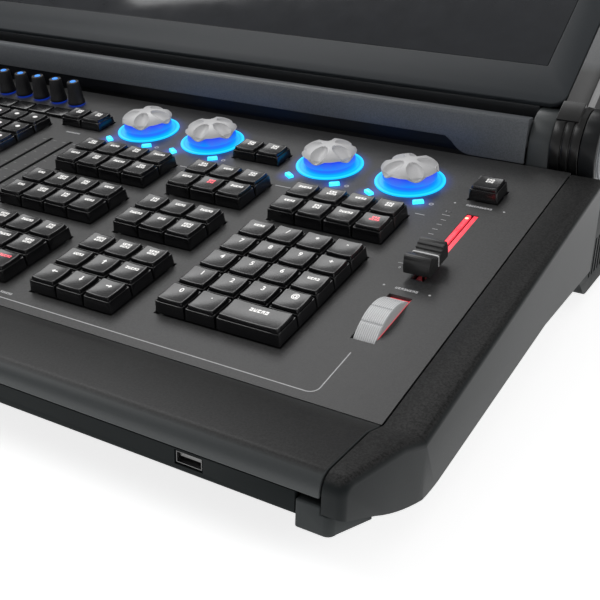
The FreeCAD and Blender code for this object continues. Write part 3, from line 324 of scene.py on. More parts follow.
def make(name, bm, material, body, smooth=35, replace=()):
    """Turns a bmesh into a named piece that rides on a body."""
    bmesh.ops.recalc_face_normals(bm, faces=bm.faces)
    mesh = bpy.data.meshes.new(name)
    bm.to_mesh(mesh)
    bm.free()
    if smooth:
        mesh.shade_smooth()
        mesh.set_sharp_from_angle(angle=math.radians(smooth))
    obj = bpy.data.objects.new(name, mesh)
    bpy.context.scene.collection.objects.link(obj)
    for entry in material if isinstance(material, list) else [material]:
        mesh.materials.append(entry)
    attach(obj, body)
    if replace:
        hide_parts(*replace)


def body_of(node):
    bodies = frame["record"]["behaviour"]["bodies"]
    return next(body for body, members in bodies.items() if node in members)


SHARP_ANGLE = 32
FLAT_ANGLE = 0.5


def dress(node, material, bevel, segments):
    """A new material on a CAD node, with its sharp edges softened."""
    obj = NODES[node]
    obj.data.materials.clear()
    obj.data.materials.append(material)
    if bevel:
        weld = obj.modifiers.new("weld", "WELD")
        weld.merge_threshold = 1e-5
        flat = obj.modifiers.new("flat", "DECIMATE")
        flat.decimate_type = "DISSOLVE"
        flat.angle_limit = math.radians(FLAT_ANGLE)
        round_off = obj.modifiers.new("bevel", "BEVEL")
        round_off.width = bevel * MM
        round_off.segments = segments
        round_off.limit_method = "ANGLE"
        round_off.angle_limit = math.radians(SHARP_ANGLE)
        round_off.use_clamp_overlap = True
        round_off.harden_normals = True
        for polygon in obj.data.polygons:
            polygon.use_smooth = True


# ---- legends ---------------------------------------------------------------------

GLYPHS = {}


def glyph(text):
    """A character of the built-in font as outlines of faces, 1 high, centred."""
    if text not in GLYPHS:
        curve = bpy.data.curves.new("glyph", "FONT")
        curve.body = text
        curve.align_x = "CENTER"
        curve.resolution_u = 3
        curve.offset = 0.018
        obj = bpy.data.objects.new("glyph", curve)
        bpy.context.scene.collection.objects.link(obj)
        bpy.context.view_layer.update()
        mesh = obj.evaluated_get(bpy.context.evaluated_depsgraph_get()).to_mesh()
        tops = [v.co.y for v in mesh.vertices]
        middle = (min(tops) + max(tops)) / 2
        GLYPHS[text] = [[(mesh.vertices[i].co.x, mesh.vertices[i].co.y - middle) for i in p.vertices]
                        for p in mesh.polygons]
        bpy.data.objects.remove(obj)
        bpy.data.curves.remove(curve)
    return GLYPHS[text]


ARROW = ((-1.5, -0.28), (0.2, -0.28), (0.2, -0.95), (1.5, 0), (0.2, 0.95), (0.2, 0.28), (-1.5, 0.28))
LEGEND_ROOT = 0.05
LEGEND_LIFT = 0.06


def stamp(bm, outlines, u, v, surface, scale=1.0, turn=0.0, index=0):
    """Prints flat outlines on a key, following its surface, as thin closed pieces."""
    c, s = math.cos(turn), math.sin(turn)
    for outline in outlines:
        low, high = [], []
        for x, y in outline:
            across = u + scale * (x * c - y * s)
            up = v + scale * (x * s + y * c)
            height = surface(across, up)
            low.append(bm.verts.new(PANEL @ Vector((across, up, height - LEGEND_ROOT))))
            high.append(bm.verts.new(PANEL @ Vector((across, up, height + LEGEND_LIFT))))
        faces = [bm.faces.new(high), bm.faces.new(list(reversed(low)))]
        for i in range(len(low)):
            j = (i + 1) % len(low)
            faces.append(bm.faces.new((low[i], low[j], high[j], high[i])))
        for face in faces:
            face.material_index = index


def mark(kind, width, height):
    """One of a few plain notched blocks that stand in for a letter."""
    w, h, t = width, height, 0.3 * width
    if kind == 0:
        return [(0, 0), (w, 0), (w, h), (w - t, h), (w - t, 0.45 * h), (t, 0.45 * h), (t, h), (0, h)]
    if kind == 1:
        return [(0, 0), (w, 0), (w, h), (0, h), (0, 0.66 * h), (w - t, 0.66 * h), (w - t, 0.4 * h),
                (0, 0.4 * h)]
    if kind == 2:
        return [(0, 0), (t, 0), (t, 0.5 * h), (w - t, 0.5 * h), (w - t, 0), (w, 0), (w, h), (0, h)]
    return [(0, 0), (w, 0), (w, 0.3 * h), (t, 0.4 * h), (t, 0.6 * h), (w, 0.7 * h), (w, h), (0, h)]


def word(count, size=1.5):
    """A row of small marks where the real key carries a word."""
    width, gap = size * 0.7, size * 0.2
    left = -(count * width + (count - 1) * gap) / 2
    row = []
    for number in range(count):
        start = left + number * (width + gap)
        outline = mark((number * 3 + count) % 4, width, size)
        row.append([(start + x, y - size / 2) for x, y in outline])
    return row


def moved(outlines, x, y):
    return [[(px + x, py + y) for px, py in outline] for outline in outlines]


def legend(kind):
    """Outlines, scale, turn and shift toward the back for one kind of legend."""
    if kind.startswith("w"):
        lines = [int(c) for c in kind[1:]]
        if len(lines) == 1:
            return word(lines[0], 2.0), 1.0, 0.0, 3.4
        return moved(word(lines[0], 1.8), 0, 1.2) + moved(word(lines[1], 1.8), 0, -1.2), 1.0, 0.0, 2.9
    if kind in ("left", "right", "up", "down"):
        turns = {"right": 0, "up": 90, "left": 180, "down": 270}
        return [ARROW], 1.35, math.radians(turns[kind]), 2.8
    if kind == "dot":
        turns = [2 * math.pi * k / 16 for k in range(16)]
        spot = [(2.0 * math.cos(turn), 1.5 * math.sin(turn)) for turn in turns]
        return [spot], 1.0, 0.0, 2.0
    return glyph(kind), 4.7, 0.0, 3.6


# ---- keys ------------------------------------------------------------------------

CAP_EDGE = 1.95
DISH = 0.9
STEP_DROP = 2.3
FLAT_KEY_HEIGHT = 4
WIDE_KEY = 25


def key_surface(box):
    """Height of a key's top, dished both ways, at a place on the panel."""
    across, up = centre_of(box)
    half_width = (box[3] - box[0]) / 2 - CAP_EDGE
    half_depth = (box[4] - box[1]) / 2 - CAP_EDGE

    def surface(x, y):
        bowl = ((x - across) / half_width) ** 2 + ((y - up) / half_depth) ** 2
        return box[5] - DISH * (1 - min(bowl, 2.0) / 2)
    return surface


def add_key(bm, box):
    """A skirt with soft corners, a groove, and a cap with a dished top."""
    u0, v0, h0, u1, v1, h1 = box
    cu, cv = centre_of(box)
    width, depth = u1 - u0, v1 - v0
    step = h1 - STEP_DROP
    levels = [(h0, 0.0, 0.8), (h0 + 0.4, 0.03, 0.9), (step - 0.35, 0.46, 1.0), (step - 0.1, 0.54, 1.0),
              (step, 0.72, 1.0), (step, 0.98, 0.9), (step - 0.15, 1.1, 0.8), (step - 0.6, 1.14, 0.8),
              (step - 0.6, 1.3, 0.7), (step + 0.1, 1.34, 0.9)]

    def ring(inset, radius):
        return rounded_rect(width - 2 * inset, depth - 2 * inset, radius, 3, 6)

    rings = [[(cu + x, cv + y, height) for x, y in ring(inset, radius)] for height, inset, radius in levels]
    surface = key_surface(box)
    for drop, inset, radius in ((0.42, 1.62, 1.0), (0.2, 1.7, 1.0), (0.07, 1.8, 0.9), (0.0, CAP_EDGE, 0.85),
                                (0.0, 2.5, 0.7)):
        outline = ring(inset, radius)
        rings.append([(cu + x, cv + y, surface(cu + x, cv + y) - drop) for x, y in outline])
    for shrink in (0.84, 0.68, 0.52, 0.36, 0.18):
        rings.append([(cu + x * shrink, cv + y * shrink, surface(cu + x * shrink, cv + y * shrink))
                      for x, y in outline])
    loft(bm, rings)


def key_block(node, legends, materials, red=()):
    """All keys of one CAD node as one piece, and their legends as another."""
    boxes = solids(node)
    body = body_of(node)
    keys, prints = bmesh.new(), bmesh.new()
    for number, box in enumerate(boxes):
        if box[5] - box[2] < FLAT_KEY_HEIGHT:
            add_flat_key(keys, box)
            continue
        add_key(keys, box)
        outlines, scale, turn, shift = legend(legends[number])
        if box[3] - box[0] > WIDE_KEY:
            scale = 1.25
        u, v = centre_of(box)
        stamp(prints, outlines, u, v + shift, key_surface(box), scale, turn, 1 if number in red else 0)
    make("set_" + node, keys, materials["key"], body, 28, (node,))
    legend_materials = [materials["white_legend"], materials["red_legend"]]
    make("legends_" + node, prints, legend_materials, body, 0)


def add_flat_key(bm, box):
    """A low key without a cap, with rounded edges."""
    u0, v0, h0, u1, v1, h1 = box
    cu, cv = centre_of(box)
    rings = []
    for height, inset in ((h0, 0), (h1 - 0.6, 0.15), (h1 - 0.2, 0.35), (h1, 0.8)):
        outline = rounded_rect(u1 - u0 - 2 * inset, v1 - v0 - 2 * inset, 1.2, 4)
        rings.append([(cu + x, cv + y, height) for x, y in outline])
    loft(bm, rings)


def words(count, pattern):
    return [pattern[i % len(pattern)] for i in range(count)]


def make_keys(m):
    numeric = ["0", ".", "1", "2", "3", "@", "4", "5", "6", "w4", "7", "8", "9", "+", "w4", "/", "*", "-"]
    programmer = ["w44", "w43", "w4", "w5", "w33", "w44", "w5", "w44", "w4", "w44", "w5", "w33"]
    key_block("keys_numeric", numeric, m)
    key_block("key_enter", ["w5"], m)
    key_block("keys_cursor", ["left", "down", "right", "w4", "up", "w5", "w44", "w44", "w44"], m)
    key_block("keys_programmer", programmer, m, red=(3,))
    key_block("keys_middle", words(14, ["w3", "w44", "w33", "w4", "w5"]), m)
    boxes = solids("keys_upper")
    red = [i for i, b in enumerate(boxes) if b[1] < 118 and (140 < b[0] < 150 or 260 < b[0] < 264)]
    kinds = ["w33" if b[1] > 165 else ["w4", "w33", "w5", "w34"][i % 4] for i, b in enumerate(boxes)]
    key_block("keys_upper", kinds, m, red=red)
    key_block("key_grand_master", ["w33"], m)
    key_block("keys_executor", words(42, ["w3", "w4", "w33", "w2"]), m)
    key_block("keys_playback", words(50, ["dot"]), m)


# ---- encoders and knobs ----------------------------------------------------------

SCOOPS = 5
POINTS_PER_SCOOP = 60
DOME = [(0.01, 15.3), (2, 15.27), (3.5, 15.2), (4.5, 15.12), (5.5, 15.02), (6.5, 14.9), (7.5, 14.75),
        (8.5, 14.57), (9.5, 14.36), (10.5, 14.12), (11.5, 13.84), (12.5, 13.52), (13.5, 13.15), (14.5, 12.7),
        (15.4, 12.25), (16.2, 11.75), (16.9, 11.2), (17.4, 10.7), (17.8, 10.2)]
RIM_RADIUS, RIM_HEIGHT = DOME[-1]
PHASES = (-68, -88, -92, -52)
EDGE_HEIGHT = 10.0
TONGUE_DROP, TONGUE_HALF = 2.6, 6.6
FLANK_FLARE, FLANK_STEPS = 0.25, 7
SCOOP_START, SCOOP_FOOT = 5.2, 7.9
SCOOP_HALF, SCOOP_DEPTH = 5.1, 3.4


def encoder_profile(offset):
    """The knob's outline at an angle from a scoop's middle: dome, then flank down to its edge."""
    lateral = RIM_RADIUS * math.sin(offset)
    edge = EDGE_HEIGHT - TONGUE_DROP * math.cos(math.pi / 2 * min(1, abs(lateral) / TONGUE_HALF)) ** 1.3
    flank = []
    for number in range(1, FLANK_STEPS + 1):
        part = number / FLANK_STEPS
        flank.append((RIM_RADIUS + FLANK_FLARE * part, RIM_HEIGHT + (edge - RIM_HEIGHT) * part))
    return DOME + flank


def add_encoder(bm, cu, cv, phase):
    """A silver knob: a shallow dome with a wavy lower edge and crisp oval scoops."""
    count = SCOOPS * POINTS_PER_SCOOP
    sector = 2 * math.pi / SCOOPS
    columns = []
    for k in range(count):
        angle = 2 * math.pi * k / count
        offset = (angle - phase + sector / 2) % sector - sector / 2
        profile = encoder_profile(offset)
        lengths = [0.0]
        for (r0, h0), (r1, h1) in zip(profile, profile[1:]):
            lengths.append(lengths[-1] + math.hypot(r1 - r0, h1 - h0))
        dome_length = lengths[len(DOME) - 1]
        scoop_end = dome_length + RIM_HEIGHT - SCOOP_FOOT
        middle, half = (SCOOP_START + scoop_end) / 2, (scoop_end - SCOOP_START) / 2
        column = []
        for (r, h), length in zip(profile, lengths):
            across = r * math.sin(offset) / (SCOOP_HALF * (0.72 + 0.28 * min(1, r / 14)))
            inside = 1 - across ** 2 - ((length - middle) / half) ** 2
            depth = SCOOP_DEPTH * math.sqrt(inside) if inside > 0 else 0.0
            radius, height = r - 0.72 * depth, h - 0.6 * depth * (1 if length < dome_length else 0.4)
            column.append((cu + radius * math.cos(angle), cv + radius * math.sin(angle), height))
        u, v, h = column[-1]
        for shrink, lift in ((0.965, 0.1), (0.9, 0.9), (0.66, 1.2)):
            column.append((cu + (u - cu) * shrink, cv + (v - cv) * shrink, min(h + lift, EDGE_HEIGHT)))
        column.append((cu + 0.01 * math.cos(angle), cv + 0.01 * math.sin(angle), 9.0))
        columns.append(column)
    loft(bm, [list(ring) for ring in zip(*columns)])


def make_encoders(m):
    for number, phase in enumerate(PHASES, 1):
        node = f"encoder_knob_{number}"
        across = node_centre(node)[0]
        cu, cv = min(ENCODER_PLACES, key=lambda place: abs(place[0] - across))
        bm = bmesh.new()
        add_encoder(bm, cu, cv, math.radians(phase))
        make(node + "_cap", bm, m["silver"], body_of(node), 24, (node,))
        # A glowing cone under the knob: painted light for the ring's light on its underside.
        under = bmesh.new()
        lathe(under, [(3, -4.6), (3, 3.5), (15.4, 3.5), (16.9, 3.7), (17.2, 4.2), (16.6, 7.4), (15.4, 8.8),
                      (12.4, 9.4), (3, 9.4)], (cu, cv), segments=96)
        make(node + "_glow", under, m["painted_under_glow"], body_of(node), 40)


GRIP = [(3, -4.6), (3, 1.05), (6.2, 1.1), (6.55, 1.4), (6.55, 2.6), (6.4, 3.3), (6.1, 4.2), (5.6, 9),
        (5.15, 14), (4.85, 17.4), (4.7, 18.1), (4.35, 18.6), (3.7, 18.75), (3.55, 18.5)]
RIB_DEPTH = 0.16
RIB_LOW, RIB_HIGH = 4, 17.5


def make_playback_knobs(m):
    for node in PLAYBACK_KNOBS:
        cu, cv = node_centre(node)
        body = body_of(node)
        bm = bmesh.new()
        rings = []
        for r, h in GRIP:
            ribbed = RIB_LOW < h < RIB_HIGH
            ring = []
            for k in range(96):
                angle = 2 * math.pi * k / 96
                radius = r - (RIB_DEPTH if ribbed and k % 4 < 2 else 0)
                ring.append((cu + radius * math.cos(angle), cv + radius * math.sin(angle), h))
            rings.append(ring)
        loft(bm, rings)
        make(node + "_grip", bm, m["knob"], body, 30, (node,))
        lights = bmesh.new()
        lathe(lights, [(2.3, 18.2), (2.3, 18.65), (2.1, 18.85), (0.05, 18.95)], (cu, cv), segments=40)
        lathe(lights, [(3.4, 0.5), (5.6, 0.45), (5.7, 0.85), (3.4, 0.9)], (cu, cv), segments=40)
        make(node + "_light", lights, m["knob_light"], body, 40)


# ---- the desk's own materials ------------------------------------------------------

def material_set():
    """Every shared material, by its short name."""
    m = {}
    m["key"] = key_material()
    m["white_legend"] = lit("legend_white", (1.0, 0.99, 0.97), 0.9)
    m["red_legend"] = lit("legend_red", (1.0, 0.12, 0.16), 1.3)
    m["silver"] = textured("encoder_silver", (0.62, 0.62, 0.63), 0.34, 2600, 0.00004, 0.05)
    m["painted_under_glow"] = painted_under_glow()
    m["ring"] = ring_material()
    m["led"] = lit("button_light", (0.02, 0.62, 1.0), 1.6, (0.08, 0.8, 1.0))
    m["knob"] = textured("knob_rubber", (0.012, 0.012, 0.014), 0.45, 1500, 0.00005, 0.2, 0.4)
    m["knob_light"] = knob_light()
    m["cap"] = textured("fader_cap", (0.018, 0.018, 0.0185), 0.34, 1800, 0.00003, 0.2, 0.5)
    m["line"] = textured("white_line", (0.75, 0.75, 0.75), 0.5, 2400, 0.00002, 0.05)
    m["wheel"] = wheel_material()
    m["print"] = textured("screen_print", (0.62, 0.62, 0.63), 0.6, 2600, 0.00001, 0.12)
    m["faint_print"] = textured("faint_print", (0.25, 0.25, 0.255), 0.6, 2600, 0.00001, 0.12)
    # One black moulding in two brightnesses: the lighter block copy is painted light on the corner blocks,
    # the darker side copy is painted shade on the front fascia and is also used on the rear sides.
    m["block"] = textured("block_moulding_painted_light", (0.026, 0.03, 0.031), 0.5, 1500, 0.00004, 0.08, 0.15)
    m["side"] = textured("side_moulding_painted_shade", (0.010, 0.0125, 0.013), 0.5, 1500, 0.00004, 0.08, 0.08)
    m["panel"] = panel_material()
    m["tray"] = textured("tray_coat", (0.02, 0.02, 0.021), 0.5, 900, 0.0001, 0.2)
    m["rail"] = rail_material()
    m["bezel"] = textured("bezel_coat", (0.022, 0.026, 0.03), 0.5, 1200, 0.00007, 0.12, 0.25)
    m["back"] = textured("screen_shell", (0.045, 0.048, 0.052), 0.5, 1000, 0.0001, 0.15)
    m["glass"] = glossy("display_glass", (0.02, 0.022, 0.026), 0.08, 0.05)
    m["display"] = textured("display_module", (0.01, 0.01, 0.012), 0.4)
    m["arm"] = arm_material()
    m["cover"] = cover_material()
    m["bracket"] = textured("bracket_coat", (0.05, 0.055, 0.057), 0.4, 1400, 0.00004, 0.1, 0.4)
    m["rubber"] = textured("foot_rubber", (0.012, 0.012, 0.012), 0.8, 700, 0.0002, 0.3)
    m["steel"] = brushed("zinc_steel", (0.55, 0.55, 0.55))
    m["socket"] = brushed("socket_shell", (0.62, 0.61, 0.58), 0.28, 1.0)
    m["usb"] = brushed("usb_shell", (0.16, 0.16, 0.16), 0.3, 0.9)
    m["inlet"] = glossy("inlet_plastic", (0.012, 0.012, 0.012), 0.3)
    m["board"] = glossy("solder_mask", (0.01, 0.09, 0.035), 0.3)
    m["mat"] = textured("silicone_mat", (0.03, 0.03, 0.03), 0.7)
    m["slot_red"] = slot_light("slot_light", 1.35)
    m["wheel_red"] = slot_light("wheel_light", 0.8)
    m["beacon"] = lit("slot_beacon", (1.0, 0.55, 0.35), 2.2)
    m["cheek"] = cheek_material()
    m["rest"] = rest_material()
    return m


def key_material():
    """Gloss black with a soft smear."""
    s = Shader("key_gloss")
    s.set(specular=0.55)
    smear = s.noise(90, 3, 0.6)
    fine = s.noise(2600, 2)
    s.paint(s.mix(smear, (0.004, 0.004, 0.005), (0.008, 0.008, 0.009)))
    s.gloss(s.span(smear, 0.3, 0.7, 0.2, 0.25))
    s.bump(fine, 0.12, 0.00003)
    return s.material


# Colour of the blue glow painted on the panel round the lit parts: painted light.
PAINTED_LED_SPILL = (0.03, 0.12, 1.0)


def panel_material():
    """Powder coat with a blue glow painted round the lit rings, buttons and knobs near them: painted light.
    """
    s = Shader("panel_coat")
    color = (0.042, 0.042, 0.0425)
    fine = s.noise(800, 3, 0.7)
    broad = s.noise(9, 2)
    speck = s.mix(s.span(fine, 0.36, 0.64, 0, 1), scaled(color, 0.55), scaled(color, 1.5))
    s.paint(s.mix(s.span(broad, 0.3, 0.7, 0, 0.3), speck, scaled(color, 1.12)))
    s.gloss(s.span(fine, 0.3, 0.7, 0.38, 0.52))
    s.set(specular=0.4)
    s.bump(fine, 0.5, 0.00012)
    # Painted light: blue emission painted on the panel round each ring, button and knob, fading with
    # distance.
    painted_halos = [(ENCODER_PLACES, 0.021, 0.031, 2.6, 0.35),
             ([centre_of(box) for box in solids("encoder_buttons")], 0.001, 0.0115, 2.2, 0.8),
             ([node_centre(node) for node in PLAYBACK_KNOBS], 0.004, 0.0095, 2.0, 0.3)]
    painted_glow_sum = 0.0
    for places, core, reach, falloff, strength in painted_halos:
        for u, v in places:
            near = s.span(distance_to(s, PANEL @ Vector((u, v, 0))), core, reach, 1, 0)
            painted_glow_sum = s.math("ADD", painted_glow_sum, s.math("MULTIPLY", s.math("POWER", near, falloff), strength))
    s.light(s.mix(s.math("MULTIPLY", painted_glow_sum, 0.8, clamp=True), (0, 0, 0), PAINTED_LED_SPILL))
    s.set(strength=0.9)
    return s.material


def ring_material():
    """The lit ring: brightest at its outer lip, with a darker seam."""
    s = Shader("ring_light")
    s.set(color=(0.01, 0.05, 0.1), rough=0.45, specular=0.3, strength=1.3)
    nearest = 1.0
    for u, v in ENCODER_PLACES:
        nearest = s.math("MINIMUM", nearest, distance_to(s, PANEL @ Vector((u, v, 0.5))))
    stops = [(0.0, (0.02, 0.08, 0.9)), (0.35, (0.0, 0.22, 1.0)), (0.62, (0.0, 0.42, 1.0)),
             (0.7, (0.0, 0.3, 0.9)), (0.78, (0.0, 0.5, 1.0)), (0.93, (0.02, 0.62, 1.0)),
             (1.0, (0.0, 0.45, 1.0))]
    s.light(s.ramp(s.span(nearest, 0.013, 0.0226, 0, 1), stops))
    return s.material


def painted_under_glow():
    """Glowing cone under the silver knob, painted light for the ring's blue light on the knob's underside:
    deep blue above, cyan at its foot nearest the ring.
    """
    s = Shader("painted_under_glow")
    s.set(color=(0.01, 0.03, 0.15), rough=0.4, specular=0.2, strength=0.95)
    height = panel_height(s)
    patch = s.noise(90, 2)
    # Painted light: brighter cyan near the ring at the foot, deeper blue higher up.
    blend = s.mix(s.span(height, 0.0042, 0.0086, 0, 1), (0.0, 0.28, 1.0), (0.01, 0.05, 0.85))
    s.light(s.mix(s.span(patch, 0.35, 0.65, 0, 0.5), blend, (0.09, 0.12, 0.85)))
    return s.material


def knob_light():
    """Bright blue lens on a knob's top, fading to a dim glow at its foot."""
    s = Shader("knob_light")
    s.set(color=(0.01, 0.03, 0.12), rough=0.35, strength=1.0)
    height = panel_height(s)
    flecks = s.noise(900, 2)
    lens = s.mix(s.span(flecks, 0.35, 0.65, 0, 1), (0.02, 0.22, 1.0), (0.06, 0.4, 1.0))
    s.light(s.mix(s.span(height, 0.003, 0.012, 0, 1), (0.0, 0.02, 0.3), lens))
    return s.material


def panel_height(s):
    """Distance off the panel's surface, in metres."""
    node = s.add("ShaderNodeVectorMath", operation="DOT_PRODUCT")
    shifted = s.add("ShaderNodeVectorMath", operation="SUBTRACT")
    s.put(s.place, shifted.inputs[0])
    shifted.inputs[1].default_value = PANEL_ORIGIN
    s.put(shifted.outputs["Vector"], node.inputs[0])
    node.inputs[1].default_value = (0, -math.sin(TILT), math.cos(TILT))
    return node.outputs["Value"]


def slot_light(name, strength):
    """Red light, a little patchy."""
    s = Shader(name)
    s.set(color=(0.2, 0.01, 0.02), rough=0.3, strength=strength)
    patch = s.noise(160, 2)
    s.light(s.mix(s.span(patch, 0.3, 0.7, 0, 1), (0.95, 0.01, 0.03), (1.0, 0.06, 0.09)))
    return s.material


def rail_material():
    """Satin coat, with painted shade that makes it nearly black inside the long mouth along the foot."""
    s = Shader("rail_coat_painted_shade")
    # Painted shade: a mask for the inside of the mouth, where the coat is painted nearly black.
    inside = s.span(s.axis("Z"), 0.1088, 0.1094, 1, 0)
    deep = s.span(s.axis("Y"), 0.0345, 0.0352, 0, 1)
    fine = s.noise(1300, 3)
    coat = s.mix(s.span(fine, 0.35, 0.65, 0, 1), (0.085, 0.092, 0.1), (0.12, 0.128, 0.138))
    s.paint(s.mix(s.math("MULTIPLY", inside, deep), coat, (0.004, 0.005, 0.007)))
    s.gloss(s.span(fine, 0.3, 0.7, 0.36, 0.48))
    s.set(specular=0.35)
    s.bump(fine, 0.4, 0.00005)
    return s.material


def axis_distance(s):
    """Distance from the hinge axis, in metres."""
    dy = s.math("SUBTRACT", s.axis("Y"), HINGE_POINT.y)
    dz = s.math("SUBTRACT", s.axis("Z"), HINGE_POINT.z)
    return s.math("SQRT", s.math("ADD", s.math("MULTIPLY", dy, dy), s.math("MULTIPLY", dz, dz)))


def arm_material():
    """Black on the hinge ring, satin metal along the arm."""
    s = Shader("arm_metal")
    away = axis_distance(s)
    on_arm = s.span(away, 0.047, 0.056, 0, 1)
    lines = s.noise(700, 3)
    metal = s.mix(lines, (0.045, 0.048, 0.05), (0.075, 0.08, 0.085))
    s.paint(s.mix(on_arm, (0.004, 0.004, 0.004), metal))
    s.gloss(s.span(on_arm, 0, 1, 0.34, 0.36))
    s.bump(lines, 0.15, 0.00003)
    return s.material


def cover_material():
    """Satin drum with a lighter turned rim round its end disc."""
    s = Shader("cover_metal")
    away = axis_distance(s)
    stops = [(0.0, (0.018, 0.019, 0.02)), (0.74, (0.02, 0.021, 0.022)), (0.78, (0.16, 0.17, 0.18)),
             (0.84, (0.18, 0.19, 0.2)), (0.87, (0.012, 0.013, 0.014)), (1.0, (0.012, 0.013, 0.014))]
    s.paint(s.ramp(s.span(away, 0.0, 0.024, 0, 1), stops))
    s.set(specular=0.2)
    fine = s.noise(1400, 2)
    s.gloss(s.span(fine, 0.3, 0.7, 0.3, 0.42))
    s.bump(fine, 0.2, 0.00003)
    return s.material


# ---- print on the panel ----------------------------------------------------------

PRINT_LOW, PRINT_HIGH = 0.0, 0.045


def path_strip(bm, points, width):
    """A printed line of constant width through the points."""
    left, right = [], []
    for i, (x, y) in enumerate(points):
        before = points[max(i - 1, 0)]
        after = points[min(i + 1, len(points) - 1)]
        dx, dy = after[0] - before[0], after[1] - before[1]
        size = math.hypot(dx, dy)
        nx, ny = -dy / size * width / 2, dx / size * width / 2
        left.append((x + nx, y + ny))
        right.append((x - nx, y - ny))
    for a, b, c, d in zip(left, left[1:], right[1:], right):
        prism(bm, [d, c, b, a], PRINT_LOW, PRINT_HIGH)


DOT_RADIUS = 0.7


def dot(bm, u, v):
    turns = [k * math.pi / 6 for k in range(12)]
    points = [(u + DOT_RADIUS * math.cos(turn), v + DOT_RADIUS * math.sin(turn)) for turn in turns]
    prism(bm, points, PRINT_LOW, PRINT_HIGH)


def label(bm, u, v, letters, size=1.6):
    """A row of plain marks where the real panel carries a word."""
    for outline in moved(word(letters, size), u, v):
        prism(bm, outline, PRINT_LOW, PRINT_HIGH)


def ring_print(bm, u, v, outer, inner):
    """A printed ring in short arcs."""
    count = 20
    for k in range(count):
        a, b = 2 * math.pi * k / count, 2 * math.pi * (k + 1) / count
        points = [(u + r * math.cos(t), v + r * math.sin(t)) for r, t in
                  ((inner, a), (outer, a), (outer, b), (inner, b))]
        prism(bm, points, PRINT_LOW, PRINT_HIGH)


FRAME_LEFT, FRAME_FRONT, FRAME_RIGHT, FRAME_BACK = -13, -23, 313.3, 11.8
FRAME_CORNER = 5
FRAME_LINE = 0.55
MASTER_SCALE = 303
MASTER_LOW, MASTER_HIGH = 96.8, 156.9
DIGIT = 2.4


def print_frame(bm):
    """The line round the key field, with one rounded corner, and short lines behind the encoders."""
    cu, cv = FRAME_RIGHT - FRAME_CORNER, FRAME_FRONT + FRAME_CORNER
    turns = [math.pi / 2 * k / 6 for k in range(1, 6)]
    corner = [(cu + FRAME_CORNER * math.sin(turn), cv - FRAME_CORNER * math.cos(turn)) for turn in turns]
    front = [(FRAME_LEFT, FRAME_FRONT), (120, FRAME_FRONT), (cu, FRAME_FRONT)]
    path_strip(bm, front + corner + [(FRAME_RIGHT, cv), (FRAME_RIGHT, FRAME_BACK)], FRAME_LINE)
    for left, right in ((111, 125), (186, 203), (283, 289)):
        path_strip(bm, [(left, 152), (right, 152)], FRAME_LINE)


def print_encoder_rings(bm):
    for box in solids("encoder_buttons"):
        across, up = centre_of(box)
        nearest = min(ENCODER_PLACES, key=lambda place: abs(place[0] - across))
        if across > nearest[0]:
            ring_print(bm, across + 8, up + 1.2, 1.5, 0.9)


def print_master_scale(bm):
    """Eleven lines beside the grand master, with a nought below and a ten above."""
    for number in range(11):
        v = MASTER_LOW + (MASTER_HIGH - MASTER_LOW) * number / 10
        length = 5 if number % 5 == 0 else 3.2
        path_strip(bm, [(MASTER_SCALE - length, v), (MASTER_SCALE, v)], 0.4)
    for text, u, v in (("0", 301, 92.2), ("1", 298.8, 161.5), ("0", 301, 161.5), ("0", 301, 161.5)):
        for outline in glyph(text):
            prism(bm, [(u + DIGIT * x, v + DIGIT * y) for x, y in outline], PRINT_LOW, PRINT_HIGH)


def make_print(m):
    bm = bmesh.new()
    print_frame(bm)
    print_encoder_rings(bm)
    print_master_scale(bm)
    label(bm, 314.5, 173.5, 10, 1.8)
    dot(bm, 299.3, 173.5)
    dot(bm, 330, 173.5)
    label(bm, 314, 73, 8, 1.8)
    dot(bm, 301, 73)
    dot(bm, 327, 73)
    label(bm, 2, 168.5, 9)
    for u in (45, 68, 92, 118):
        label(bm, u, -18.5, 6)
    label(bm, 70, -26.8, 10)
    make("panel_print", bm, m["print"], "desk", 0)


def make_marks(m):
    """The faint scales on both sides of each fader slot."""
    bm = bmesh.new()
    for u in (-5.9, 12.7):
        for number in range(11):
            v = 52 + 10 * number
            reach = 6.8 if number % 5 == 0 else 5.4
            for side in (-1, 1):
                path_strip(bm, [(u + side * 3.2, v), (u + side * reach, v)], 0.5)
    for box in solids("playback_fader_caps"):
        u = centre_of(box)[0]
        for number in range(7):
            v = 31 + 10 * number
            for side in (-1, 1):
                path_strip(bm, [(u + side * 2.6, v), (u + side * 4.8, v)], 0.45)
    label(bm, 3.4, 39.5, 6)
    make("panel_marks", bm, m["faint_print"], "desk", 0)


# ---- faders, wheel and slot light ------------------------------------------------

def make_faders(m):
    for node in ("playback_fader_caps", "crossfader_cap_left", "crossfader_cap_right", "grand_master_cap"):
        dress(node, m["cap"], 0.5, 3)
        bm = bmesh.new()
        for box in solids(node):
            u, v = centre_of(box)
            width = box[3] - box[0]
            bar(bm, u, v, width - 0.6, 0.9, 9.2, 10.62, 0.2)
            bar(bm, u, v, width + 0.12, 0.9, 4.2, 10.3, 0.02)
        make("line_" + node, bm, m["line"], body_of(node), 0)


WHEEL_RIB = 1.1 * MM


def wheel_material():
    """Pale plastic with fine ribs running round the rim, with painted shade darkening the troughs of the
    ribs.
    """
    s = Shader("wheel_plastic")
    ribs = s.math("SINE", s.math("MULTIPLY", s.axis("X"), 2 * math.pi / WHEEL_RIB))
    grime = s.noise(600, 3)
    # Painted shade: the colour is darker in each rib's trough.
    pale_with_rib_shade = s.mix(s.span(ribs, -1, 0.2, 0, 1), (0.56, 0.57, 0.58), (0.86, 0.87, 0.88))
    s.paint(s.mix(s.span(grime, 0.4, 0.7, 0, 0.25), pale_with_rib_shade, (0.6, 0.6, 0.6)))
    s.set(rough=0.4)
    s.bump(ribs, 0.5, 0.00015)
    return s.material


SLOT_U, SLOT_LOW, SLOT_HIGH = 315, 106, 162.4


